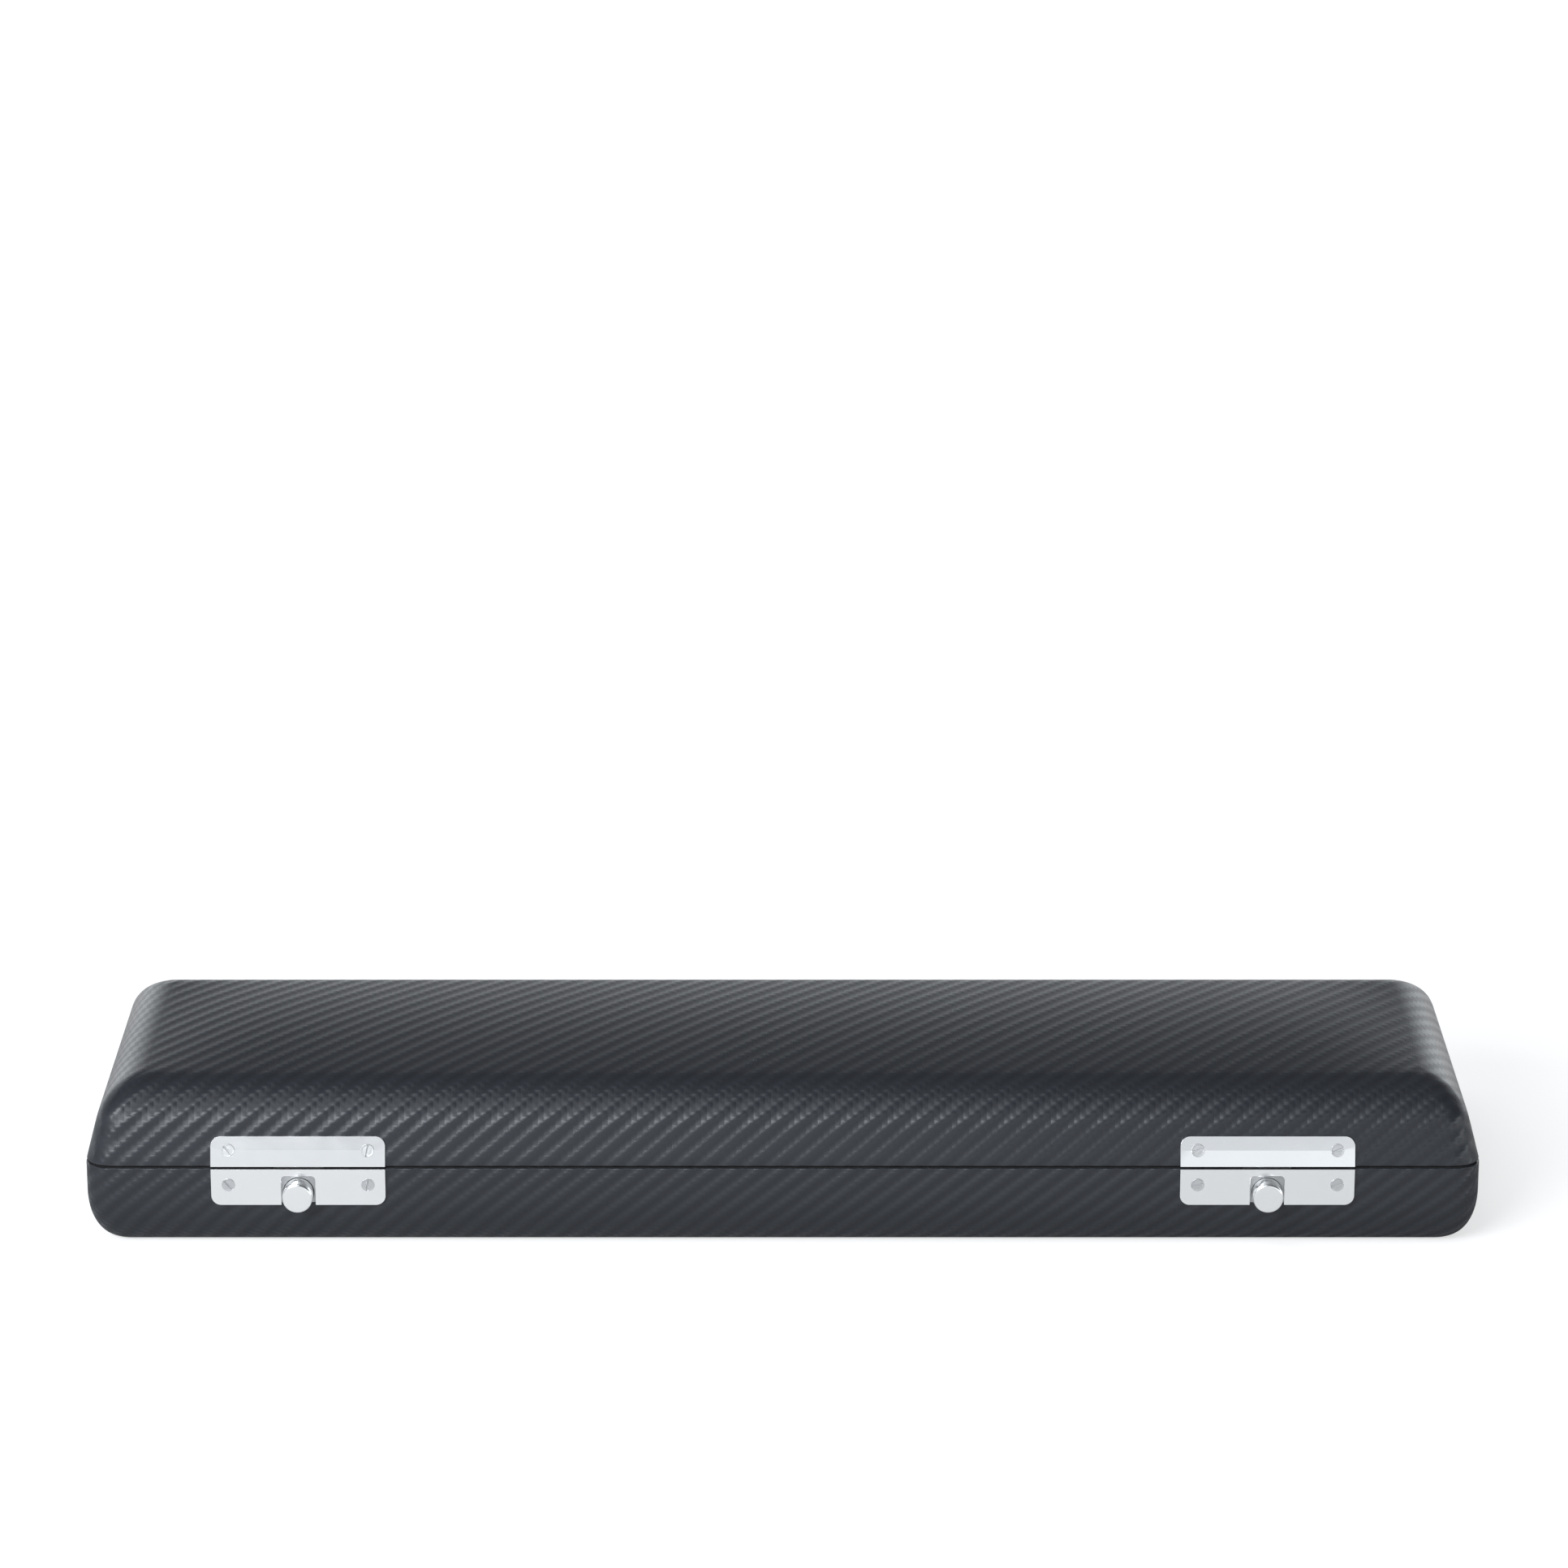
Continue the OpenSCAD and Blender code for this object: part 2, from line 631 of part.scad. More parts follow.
module base_insert() {
    pocket_in = (foot_cavity_l - foot_pocket_l) / 2;
    color(plush_colour) difference() {
        stacked(reversed(base_surface(lining_out, insert_drop)));
        channel(-body_cavity_l / 2, body_cavity_l / 2, back_row_y);
        pocket(-body_pocket_l / 2, body_pocket_l / 2, back_row_y, body_pocket_w);
        channel(head_x0, head_x0 + head_cavity_l, front_row_y);
        pocket(head_x0 + lip_pocket_x - lip_pocket_l / 2, head_x0 + lip_pocket_x + lip_pocket_l / 2,
            front_row_y, lip_pocket_w);
        channel(foot_x0, foot_x0 + foot_cavity_l, front_row_y);
        pocket(foot_x0 + pocket_in, foot_x0 + pocket_in + foot_pocket_l, front_row_y, foot_pocket_w);
        at_latches() insert_pocket();
    }
}
// Room in the insert for a latch housing and for the stem that comes out of its back.
module insert_pocket() {
    w = housing_w / 2 + 0.5;
    block(-w, w, 0, housing_back + 0.5, -housing_bottom - 0.5, lip_rise + cut);
    translate([0, 0, -button_drop]) along_y(0, housing_pocket_back, stem_r + 0.5);
    block(-stem_r - 0.5, stem_r + 0.5, 0, housing_pocket_back, -button_drop, lip_rise + cut);
}
lip_inset = lid_wall_inset(shell_in, lip_rise) + 0.45;
module lip_shape(inset) {
    r = max(corner_r - inset, least_r);
    l = half_l - inset - end_inset;
    w = half_w - inset;
    square([2 * l, 2 * (w - r)], center = true);
    square([2 * (l - r), 2 * w], center = true);
    for (sx = [-1, 1], sy = [-1, 1]) translate([sx * (l - r), sy * (w - r)]) circle(r = r, $fn = 48);
}
module base_lining_lip() {
    color(plush_colour) difference() {
        translate([0, 0, insert_top]) linear_extrude(height = insert_drop + lip_rise) difference() {
            lip_shape(lip_inset);
            lip_shape(lip_inset + lip_t);
        }
        at_latches() block(-housing_w / 2 - 1, housing_w / 2 + 1, 0, housing_back + 1, -base_h, base_h);
    }
}
module lid_shell() {
    color(wood_colour) difference() {
        stacked(concat(
            reversed(lid_surface(shell_out, lid_rim)),
            lid_surface(shell_in, lid_rim)
        ));
        lid_fitting_holes();
    }
}
module lid_cover() {
    color(cover_colour) difference() {
        stacked(concat(
            reversed(lid_surface(0, cover_rim)),
            lid_surface(cover_t, cover_rim)
        ));
        lid_fitting_holes();
    }
}
lining_bottom = lip_rise + 1;
module lid_lining() {
    w = tongue_w / 2 + 1.5;
    color(plush_colour) difference() {
        stacked(concat(
            reversed(lid_surface(lining_out, lining_bottom)),
            lid_surface(lining_out + pad_t, lining_bottom)
        ));
        for (side = [-1, 1]) on_lid_front(latch_side(side))
            block(-w, w, 0, lining_out + 2 * pad_t, -cut, foot_top + 1);
    }
}

module left_latch_base_plate() { latch_base_plate(-1); }
module right_latch_base_plate() { latch_base_plate(1); }
module left_latch_lid_plate() { latch_lid_plate(-1); }
module right_latch_lid_plate() { latch_lid_plate(1); }
module left_latch_housing() { latch_housing(-1); }
module right_latch_housing() { latch_housing(1); }
module left_latch_button() { latch_button(-1); }
module right_latch_button() { latch_button(1); }
module left_latch_catch() { latch_catch(-1); }
module right_latch_catch() { latch_catch(1); }
module left_button_spring() { button_spring(-1); }
module right_button_spring() { button_spring(1); }
module left_latch_keeper() { latch_keeper(-1); }
module right_latch_keeper() { latch_keeper(1); }
module left_hinge_base_leaf() { hinge_base_leaf(-1); }
module right_hinge_base_leaf() { hinge_base_leaf(1); }
module left_hinge_lid_leaf() { hinge_lid_leaf(-1); }
module right_hinge_lid_leaf() { hinge_lid_leaf(1); }
module left_hinge_pin() { hinge_pin(-1); }
module right_hinge_pin() { hinge_pin(1); }

base_shell();
base_cover();
base_bottom_panel();
base_insert();
base_lining_lip();
left_latch_base_plate();
right_latch_base_plate();
left_latch_housing();
right_latch_housing();
left_button_spring();
right_button_spring();
latch_base_screws();
left_hinge_base_leaf();
right_hinge_base_leaf();
left_hinge_pin();
right_hinge_pin();
hinge_base_screws();
lid_shell();
lid_cover();
lid_lining();
left_latch_lid_plate();
right_latch_lid_plate();
left_latch_keeper();
right_latch_keeper();
latch_lid_screws();
keeper_screws();
left_hinge_lid_leaf();
right_hinge_lid_leaf();
hinge_lid_screws();
left_latch_button();
left_latch_catch();
right_latch_button();
right_latch_catch();
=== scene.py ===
import math

import bmesh
import bpy
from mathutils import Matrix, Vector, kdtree


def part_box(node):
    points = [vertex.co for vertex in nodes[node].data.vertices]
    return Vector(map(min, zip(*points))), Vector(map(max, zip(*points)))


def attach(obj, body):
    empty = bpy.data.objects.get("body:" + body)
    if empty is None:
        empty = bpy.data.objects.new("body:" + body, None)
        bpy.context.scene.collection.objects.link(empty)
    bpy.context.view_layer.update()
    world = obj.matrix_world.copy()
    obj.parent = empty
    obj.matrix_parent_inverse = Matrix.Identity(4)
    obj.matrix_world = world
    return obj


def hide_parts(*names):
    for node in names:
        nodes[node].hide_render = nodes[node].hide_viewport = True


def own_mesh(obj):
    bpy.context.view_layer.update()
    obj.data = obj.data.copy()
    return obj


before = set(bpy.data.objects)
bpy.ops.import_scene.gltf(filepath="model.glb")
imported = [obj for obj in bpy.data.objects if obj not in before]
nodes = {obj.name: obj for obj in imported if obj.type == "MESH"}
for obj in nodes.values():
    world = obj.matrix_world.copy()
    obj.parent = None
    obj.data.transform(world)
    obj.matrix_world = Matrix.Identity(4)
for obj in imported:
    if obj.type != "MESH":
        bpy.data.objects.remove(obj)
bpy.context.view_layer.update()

scene = bpy.context.scene
print("frame loaded:", len(nodes), "nodes")


def placed(name, data):
    thing = bpy.data.objects.new(name, data)
    scene.collection.objects.link(thing)
    return thing


# camera: the photograph's view, found from the case's outline
photoView = {
    "elevation": 20.735,  # degrees above the middle of the case
    "distance": 1.7629,  # metres
    "aimAbove": 3.191,  # degrees that the lens points above the case
    "targetHeight": 0.027,
    "framePixels": 1932,
    "focalPixels": 6913,
    "caseColumn": 964.5,  # pixel column of the middle of the case
    "sensorWidth": 36,
}


def makeCamera(view):
    rise = math.radians(view["elevation"])
    reach = view["distance"]
    data = bpy.data.cameras.new("camera")
    data.sensor_width = view["sensorWidth"]
    data.lens = view["focalPixels"] / view["framePixels"] * view["sensorWidth"]
    camera = placed("camera", data)
    aside = (view["framePixels"] / 2 - view["caseColumn"]) * reach / view["focalPixels"]
    camera.location = (aside, -reach * math.cos(rise), view["targetHeight"] + reach * math.sin(rise))
    camera.rotation_euler = (math.radians(90 - view["elevation"] + view["aimAbove"]), 0, 0)
    scene.camera = camera


makeCamera(photoView)
scene.view_settings.view_transform = "Standard"


# nodes as expressions
class Wire:  # one output of a node; sums with it add Math nodes
    def __init__(self, graph, socket):
        self.graph, self.socket = graph, socket

    def maths(self, operation, *values):
        return self.graph.add("ShaderNodeMath", {"operation": operation}, values)

    def __add__(self, other):
        return self.maths("ADD", self, other)

    __radd__ = __add__

    def __sub__(self, other):
        return self.maths("SUBTRACT", self, other)

    def __rsub__(self, other):
        return self.maths("SUBTRACT", other, self)

    def __mul__(self, other):
        return self.maths("MULTIPLY", self, other)

    __rmul__ = __mul__

    def __truediv__(self, other):
        return self.maths("DIVIDE", self, other)

    def __rtruediv__(self, other):
        return self.maths("DIVIDE", other, self)

    def __pow__(self, other):
        return self.maths("POWER", self, other)

    def __mod__(self, other):
        return self.maths("FLOORED_MODULO", self, other)

    def __lt__(self, other):
        return self.maths("LESS_THAN", self, other)

    def __gt__(self, other):
        return self.maths("GREATER_THAN", self, other)

    def floor(self):
        return self.maths("FLOOR", self)

    def sine(self):
        return self.maths("SINE", self)

    def most(self, other):
        return self.maths("MAXIMUM", self, other)

    def least(self, other):
        return self.maths("MINIMUM", self, other)


class Graph:  # a node tree and the ways to add to it
    def __init__(self, tree):
        self.tree = tree
        tree.nodes.clear()

    def add(self, kind, settings=(), values=(), output=0):
        node = self.tree.nodes.new(kind)
        for name, value in dict(settings).items():
            if name == "stops":
                self.setStops(node.color_ramp, value)
            else:
                setattr(node, name, value)
        pairs = values.items() if isinstance(values, dict) else enumerate(values)
        for key, value in pairs:
            if isinstance(value, Wire):
                self.tree.links.new(value.socket, node.inputs[key])
            else:
                node.inputs[key].default_value = value
        return Wire(self, node.outputs[output])

    def setStops(self, ramp, stops):
        for place, shade in stops[1:-1]:
            ramp.elements.new(place)
        for element, (place, shade) in zip(ramp.elements, stops):
            element.position = place
            element.color = (shade, shade, shade, 1)

    def finish(self, result, kind="ShaderNodeOutputMaterial", name="Surface"):
        output = self.tree.nodes.new(kind)
        self.tree.links.new(result.socket, output.inputs[name])

    def mix(self, mask, low, high):
        return low + (high - low) * mask

    def tint(self, mask, low, high):
        return self.add("ShaderNodeMix", {"data_type": "RGBA"}, {0: mask, 6: low, 7: high}, 2)

    def axes(self, vector):
        return [self.add("ShaderNodeSeparateXYZ", (), (vector,), k) for k in range(3)]

    def place(self, scale=(1, 1, 1)):
        spot = self.add("ShaderNodeTexCoord", (), (), "Object")
        return self.add("ShaderNodeMapping", {"vector_type": "POINT"}, {"Vector": spot, "Scale": scale})

    def noise(self, spot, scale, detail=2, roughness=0.5):
        values = {"Vector": spot, "Scale": scale, "Detail": detail, "Roughness": roughness}
        return self.add("ShaderNodeTexNoise", (), values)

    def rays(self, kind):
        return self.add("ShaderNodeLightPath", (), (), kind)

    def bump(self, height, relief):
        return self.add("ShaderNodeBump", (), {"Height": height, "Distance": relief, "Strength": 1})


def shadingOf(owner):  # of a material or the world
    owner.use_nodes = True
    return Graph(owner.node_tree)


def rgb(red, green, blue):
    return (red, green, blue, 1)


def finishOf(name, build):
    material = bpy.data.materials.new(name)
    shading = shadingOf(material)
    shading.finish(shading.add("ShaderNodeBsdfPrincipled", (), build(shading)))
    return material


# covering: leatherette embossed with a two-by-two twill
twill = {
    "tow": 0.00177,  # width of one tow
    "relief": 0.00015,  # height of the diagonal ridges
    "pearl": 0.15,  # height of the beads along a ridge, as a share of the relief
    "pillow": 0.26,  # height of each float's own bulge
    "filaments": 5,
    "filamentHeight": 0.011,
    "grain": 6000,
    "grainHeight": 0.009,
    "ironed": 0.95,  # share of the relief that stretching takes away at the lid's ends
    # the covering's colour, from the first tone down in the valleys between the twill's ridges to the second
    # on their tops: painted shade in the valleys and painted light on the ridges
    "valleyShadeTone": rgb(0.019, 0.021, 0.0265),
    "ridgeLightTone": rgb(0.028, 0.031, 0.038),
    "specular": 0.42,
    "roughness": 0.34,
    "warpRoughness": 0.08,
    "ironedRoughness": -0.08,
    "cloudScale": 26,
    "cloudShade": 0.3,
    "cloudRoughness": 0.08,
    "crownStretch": 1.23,  # how much longer the pattern is across the crown than along it
    "wallStretch": 0.86,
    "baseStretch": 0.79,
}


def twillFloats(shading, look):
    uv = shading.add("ShaderNodeUVMap", {"uv_map": "weave"})
    acrossCase, alongCase, _ = shading.axes(uv)
    u = acrossCase / look["tow"]
    v = alongCase / look["tow"]
    column = u.floor()
    row = v.floor()
    warp = ((column - row) % 4) < 1.5
    warpAlong = (v - column + 1) % 4 - 1  # -1 to 1 along a float, which crosses two tows
    weftAlong = (u - row - 2) % 4 - 1
    warpAcross = (u - column) * 2 - 1
    weftAcross = (v - row) * 2 - 1
    along = shading.mix(warp, weftAlong, warpAlong)
    across = shading.mix(warp, weftAcross, warpAcross)
    pillow = (1 - across * across) * (1 - along * along)
    ridge = ((u - v) * (math.pi / 2) - math.pi * 0.75).sine()  # highest along the weft floats
    pearl = ((u + v) * math.pi - math.pi).sine()  # highest at the middle of each weft float
    return warp, across, pillow, ridge, pearl


def twillCovering(shading):
    look = twill
    warp, across, pillow, ridge, pearl = twillFloats(shading, look)
    spot = shading.place()
    grain = shading.noise(spot, look["grain"], 2)
    cloud = shading.noise(spot, look["cloudScale"], 3)
    ironed = shading.add("ShaderNodeAttribute", {"attribute_name": "ironed"}, (), "Fac")
    filaments = (across * (math.pi * look["filaments"])).sine()
    fine = filaments * look["filamentHeight"] + grain * look["grainHeight"]
    woven = ridge + pearl * look["pearl"] + pillow * look["pillow"]
    relief = woven * (1 - ironed * look["ironed"]) + fine
    # the mix from the painted shade of the valleys, at 0, to the painted light of the ridge tops, at about 1,
    # varied at random by the cloud
    valleyShadeMix = (ridge * 0.5 + 0.5) * (cloud * look["cloudShade"] + (1 - look["cloudShade"] / 2))
    clouded = cloud * look["cloudRoughness"] + (look["roughness"] - look["cloudRoughness"] / 2)
    return {
        "Base Color": shading.tint(valleyShadeMix, look["valleyShadeTone"], look["ridgeLightTone"]),
        "Roughness": clouded + warp * look["warpRoughness"] + ironed * look["ironedRoughness"],
        "Specular IOR Level": look["specular"],
        "Normal": shading.bump(relief, look["relief"]),
    }


covering = finishOf("covering", twillCovering)


panelLook = {  # plain grained leatherette
    "cells": 1400,
    "cellEdge": 0.3,
    "cellHeight": 2,
    "grain": 5000,
    "grainHeight": 0.4,
    "relief": 0.00006,
    "dark": rgb(0.012, 0.012, 0.014),
    "light": rgb(0.03, 0.031, 0.034),
    "roughness": 0.55,
    "grainRoughness": 0.15,
}


def underPanel(shading):
    look = panelLook
    spot = shading.place()
    feature = {"feature": "DISTANCE_TO_EDGE"}
    cells = shading.add("ShaderNodeTexVoronoi", feature, {"Vector": spot, "Scale": look["cells"]})
    grain = shading.noise(spot, look["grain"], 3)
    height = cells.least(look["cellEdge"]) * look["cellHeight"] + grain * look["grainHeight"]
    return {
        "Base Color": shading.tint(height, look["dark"], look["light"]),
        "Roughness": look["roughness"] + grain * look["grainRoughness"],
        "Normal": shading.bump(height, look["relief"]),
    }


panelFinish = finishOf("panelFinish", underPanel)


# metals
metalMarks = {"smudges": 160, "smudgeRoughness": 0.06, "lineRoughness": 0.05}


def metal(colour, worn, roughness, brush, relief):
    def build(shading):
        look = metalMarks
        lines = shading.noise(shading.place(brush), 1, 3, 0.6)
        smudge = shading.noise(shading.place(), look["smudges"], 3)
        patch = (smudge - 0.5) * 2
        return {
            "Base Color": shading.tint(lines * 0.5 + smudge * 0.5, colour, worn),
            "Metallic": 1,
            "Roughness": roughness + patch * look["smudgeRoughness"] + lines * look["lineRoughness"],
            "Normal": shading.bump(lines, relief),
        }

    return build


metalLooks = {  # colour, worn colour, roughness, fineness of the marks along x, y and z, relief
    "satinPlate": (rgb(0.88, 0.885, 0.89), rgb(0.94, 0.942, 0.945), 0.14, (350, 6000, 6000), 0.000002),
    "leafPlate": (rgb(0.44, 0.445, 0.45), rgb(0.50, 0.505, 0.51), 0.34, (350, 6000, 6000), 0.000002),
    # the latch housing: dull metal, darkened in colour as painted shade inside the latch notch and in the
    # seam gap
    "dullPaintedShadePlate": (rgb(0.40, 0.405, 0.41), rgb(0.50, 0.505, 0.51), 0.5, (2500, 2500, 2500), 0.00002),
    "screwSteel": (rgb(0.50, 0.505, 0.51), rgb(0.60, 0.605, 0.61), 0.5, (4000, 4000, 4000), 0.00001),
    "springSteel": (rgb(0.40, 0.41, 0.42), rgb(0.52, 0.53, 0.54), 0.35, (3000, 900, 3000), 0.00001),
}
satinPlate, leafPlate, dullPaintedShadePlate, screwSteel, springSteel = [
    finishOf(name, metal(*look)) for name, look in metalLooks.items()
]


# wood and plush
woodLook = {
    "grain": (30, 700, 700),
    "grainHeight": 0.6,
    "pores": (120, 3500, 3500),
    "poreShare": 0.42,
    "poreDepth": 0.4,
    "relief": 0.00008,
    "dark": rgb(0.010, 0.0093, 0.009),
    "light": rgb(0.027, 0.0245, 0.0228),
    "roughness": 0.5,
    "grainRoughness": 0.2,
}


def stainedWood(shading):
    look = woodLook
    grain = shading.noise(shading.place(look["grain"]), 1, 4, 0.6)
    pores = shading.noise(shading.place(look["pores"]), 1, 2) < look["poreShare"]
    return {
        "Base Color": shading.tint(grain, look["dark"], look["light"]),
        "Roughness": look["roughness"] + grain * look["grainRoughness"],
        "Normal": shading.bump(grain * look["grainHeight"] - pores * look["poreDepth"], look["relief"]),
    }


woodFinish = finishOf("woodFinish", stainedWood)


plushLook = {
    "pile": 4200,
    "tufts": 650,
    "napSheen": 22,  # patches where the pile was brushed the other way, drawn in a lighter colour: painted sheen
    "relief": 0.0006,
    "dark": rgb(0.009, 0.009, 0.011),
    "light": rgb(0.056, 0.058, 0.066),
    "pileShade": 1.1,  # how far the pile and the nap lighten the colour; the nap's part is painted sheen
    "napShade": 0.7,
    "deeper": 0.45,
    "roughness": 0.85,
    "pileRoughness": 0.15,
    "specular": 0.2,
    "sheen": 0.45,
    "sheenRoughness": 0.35,
    "sheenTint": rgb(0.55, 0.57, 0.62),
}


def blackPlush(shading):
    look = plushLook
    spot = shading.place()
    pile = shading.noise(spot, look["pile"], 3, 0.7)
    tufts = shading.noise(spot, look["tufts"], 2)
    # lighter patches of pile brushed the other way: painted sheen
    napSheen = shading.noise(spot, look["napSheen"], 3, 0.6)
    height = pile * 0.5 + tufts * 0.5
    shade = height * look["pileShade"] + napSheen * look["napShade"] - look["deeper"]
    return {
        "Base Color": shading.tint(shade, look["dark"], look["light"]),
        "Roughness": look["roughness"] + pile * look["pileRoughness"],
        "Specular IOR Level": look["specular"],
        "Sheen Weight": look["sheen"],
        "Sheen Roughness": look["sheenRoughness"],
        "Sheen Tint": look["sheenTint"],
        "Normal": shading.bump(height, look["relief"]),
    }


plushFinish = finishOf("plushFinish", blackPlush)
print("finishes made:", len(bpy.data.materials))


# the case's surface, as rings of points
caseShape = {
    "halfLength": 0.2125,
    "halfWidth": 0.0585,
    "baseHeight": 0.0262,
    "lidHeight": 0.0263,
    "seamCorner": 0.0082,  # corner radius at the seam
    "shoulderCorner": 0.0044,  # corner radius where the crown begins
    "lidLean": 14.4,
    "shoulderRadius": 0.0158,
    "crownSlope": 4.6,
    "endInset": 0.0003,
    "baseWall": 0.0097,
    "bottomRound": 0.0088,
    "bottomCornerShare": 0.3,
    "panelProud": 0.0002,
    "marginIn": 0.0138,  # inner edge of the covering under the base
    "leastCorner": 0.0006,
}
coverLook = {
    "thickness": 0.0008,
    "seamGap": 0.0003,  # from the seam to each covering
    "outerRoll": 0.0004,
    "innerRoll": 0.00015,
    "cornerSteps": 12,
    "longSteps": 48,
    "shortSteps": 12,
    "arcSteps": 22,
    "wallSteps": 4,
    "crownSteps": 14,
    "rollSteps": 4,
    "ironedFrom": 0.178,  # distance along the case from its middle
    "ironedTo": 0.197,
    "crownIroned": 0.72,
    "crownFade": 0.008,  # along the surface, past the crown's edge
    "hemIroned": 0.4,
    "hemFrom": 0.0185,
    "hemFade": 0.004,
}

lean = math.radians(caseShape["lidLean"])
crownAngle = math.radians(caseShape["crownSlope"])
shoulder = caseShape["shoulderRadius"]
shoulderDrop = shoulder * (math.cos(crownAngle) - math.sin(lean))
shoulderReach = shoulder * (math.cos(lean) - math.sin(crownAngle))
halfCrown = math.tan(crownAngle) / 2
wallHeight = (
    caseShape["lidHeight"] - shoulderDrop - (caseShape["halfWidth"] - shoulderReach) * halfCrown
) / (1 - math.tan(lean) * halfCrown)
shoulderX = wallHeight * math.tan(lean) + shoulder * math.cos(lean)
shoulderZ = wallHeight - shoulder * math.sin(lean)
lidInset = shoulderX - shoulder * math.sin(crownAngle)


def stations(look):  # directions round the outline, anticlockwise from the middle of the back
    back, left, front = (0, 1, -1, 1, 90), (-1, 1, -1, -1, 180), (-1, -1, 1, -1, 270)
    right, again = (1, -1, 1, 1, 0), (1, 1, 0, 1, 90)
    found = []
    for side, (x0, y0, x1, y1, heading) in enumerate((back, left, front, right, again)):
        steps = look["shortSteps"] if side in (1, 3) else look["longSteps"]
        if side in (0, 4):
            steps = look["longSteps"] // 2
        out = math.radians(heading)
        for k in range(0 if side == 0 else 1, steps):
            share = k / steps
            found.append((x0 + (x1 - x0) * share, y0 + (y1 - y0) * share, math.cos(out), math.sin(out)))
        if side < 4:
            for k in range(look["cornerSteps"] + 1):
                a = out + math.pi / 2 * k / look["cornerSteps"]
                found.append((x1, y1, math.cos(a), math.sin(a)))
    return found


class Ring:  # one outline of the surface: run is its distance past the crown's edge, along the surface
    def __init__(self, inset, radius, height, run=0, endIn=0, lift=None):
        self.halfX = caseShape["halfLength"] - inset - endIn
        self.halfY = caseShape["halfWidth"] - inset
        self.radius = min(max(radius, caseShape["leastCorner"]), self.halfY)
        self.height, self.run, self.lift = height, run, lift

    def points(self, around):
        made = []
        for sx, sy, cx, cy in around:
            x = sx * (self.halfX - self.radius) + self.radius * cx
            y = sy * (self.halfY - self.radius) + self.radius * cy
            made.append((x, y, self.height + (self.lift(x, y) if self.lift else 0)))
        return made


def lidRing(inset, share, depth, rise, run=0, lift=None):
    radius = caseShape["seamCorner"] + (caseShape["shoulderCorner"] - caseShape["seamCorner"]) * share - depth
    return Ring(inset, radius, caseShape["baseHeight"] + rise, run, caseShape["endInset"] * share, lift)


shoulderRun = shoulder * (math.pi / 2 - crownAngle - lean)


def lidWallRing(depth, rise, extra=0):
    run = shoulderRun + (wallHeight - rise) / math.cos(lean) + extra
    return lidRing(depth / math.cos(lean) + rise * math.tan(lean), 0, depth, rise, run)


def lidRings(look, depth, fromRise):  # from the wall up to the middle of the crown
    rings = [lidWallRing(depth, fromRise)]
    wallTop = shoulderZ + (shoulder - depth) * math.sin(lean)
    for k in range(1, look["wallSteps"]):
        rings.append(lidWallRing(depth, fromRise + (wallTop - fromRise) * k / look["wallSteps"]))
    inner = shoulder - depth
    for k in range(look["arcSteps"] + 1):
        a = lean + (math.pi / 2 - crownAngle - lean) * k / look["arcSteps"]
        share = (shoulderX - shoulder * math.cos(a)) / lidInset
        run = shoulder * (math.pi / 2 - crownAngle - a)
        rings.append(
            lidRing(shoulderX - inner * math.cos(a), share, depth, shoulderZ + inner * math.sin(a), run)
        )
    edgeIn = shoulderX - inner * math.sin(crownAngle)
    edgeRise = shoulderZ + inner * math.cos(crownAngle)
    reach = caseShape["halfWidth"] - edgeIn
    endReach = caseShape["halfLength"] - edgeIn - caseShape["endInset"]

    def crownLift(x, y):
        kx = min((endReach - abs(x)) / reach, 1)
        ky = min((reach - abs(y)) / reach, 1)
        return reach * halfCrown * (1 - (1 - kx) ** 2) * (1 - (1 - ky) ** 2)

    for k in range(1, look["crownSteps"] + 1):
        inset = edgeIn + reach * (k / look["crownSteps"])
        rings.append(lidRing(inset, 1, depth, edgeRise, None, crownLift))
    return rings


def baseRing(inset, depth, drop, run=0):
    radius = caseShape["seamCorner"] - caseShape["bottomCornerShare"] * inset - depth
    return Ring(inset, radius, caseShape["baseHeight"] - drop, run)


def baseRings(look, depth, fromDrop, lift):  # from the wall down to the flat underside
    wall, height, width = caseShape["baseWall"], caseShape["baseHeight"], caseShape["bottomRound"]
    rings = [baseRing(depth, depth, fromDrop, fromDrop)]
    run, lastX, lastZ = fromDrop, depth, fromDrop
    for k in range(look["arcSteps"] + 1):
        a = math.pi / 2 * k / look["arcSteps"]
        inset = width - (width - depth) * math.cos(a)
        drop = wall + (height - wall - depth - lift) * math.sin(a)
        run += math.hypot(inset - lastX, drop - lastZ)
        lastX, lastZ = inset, drop
        rings.append(baseRing(inset, depth, drop, run))
    return rings


def lidWeave(ring, point, front):  # the covering of the lid lies flat on the crown and folds down each side
    x, y = point[:2]
    crown, wall = twill["crownStretch"], twill["wallStretch"]
    if ring.run is None:
        return x, y / crown
    if front:
        return x, math.copysign((caseShape["halfWidth"] - lidInset) / crown + ring.run / wall, y)
    return math.copysign(caseShape["halfLength"] - lidInset + ring.run, x), y / crown


def lengthsRound(ring, around):
    points = ring.points(around)
    total, lengths = 0, []
    for a, b in zip(points, points[1:] + points[:1]):
        lengths.append(total)
        total += math.dist(a, b)
    return lengths, total


def ironedAt(ring, point, station):  # how far the covering is stretched flat, from 0 to 1
    look = coverLook
    reach = (abs(point[0]) - look["ironedFrom"]) / (look["ironedTo"] - look["ironedFrom"])
    run = ring.run or 0
    end = abs(station[2]) * min(max(reach, 0), 1)
    crown = look["crownIroned"] * (1 - min(run / look["crownFade"], 1))
    hem = look["hemIroned"] * min(max((run - look["hemFrom"]) / look["hemFade"], 0), 1)
    return max(end, crown, hem)


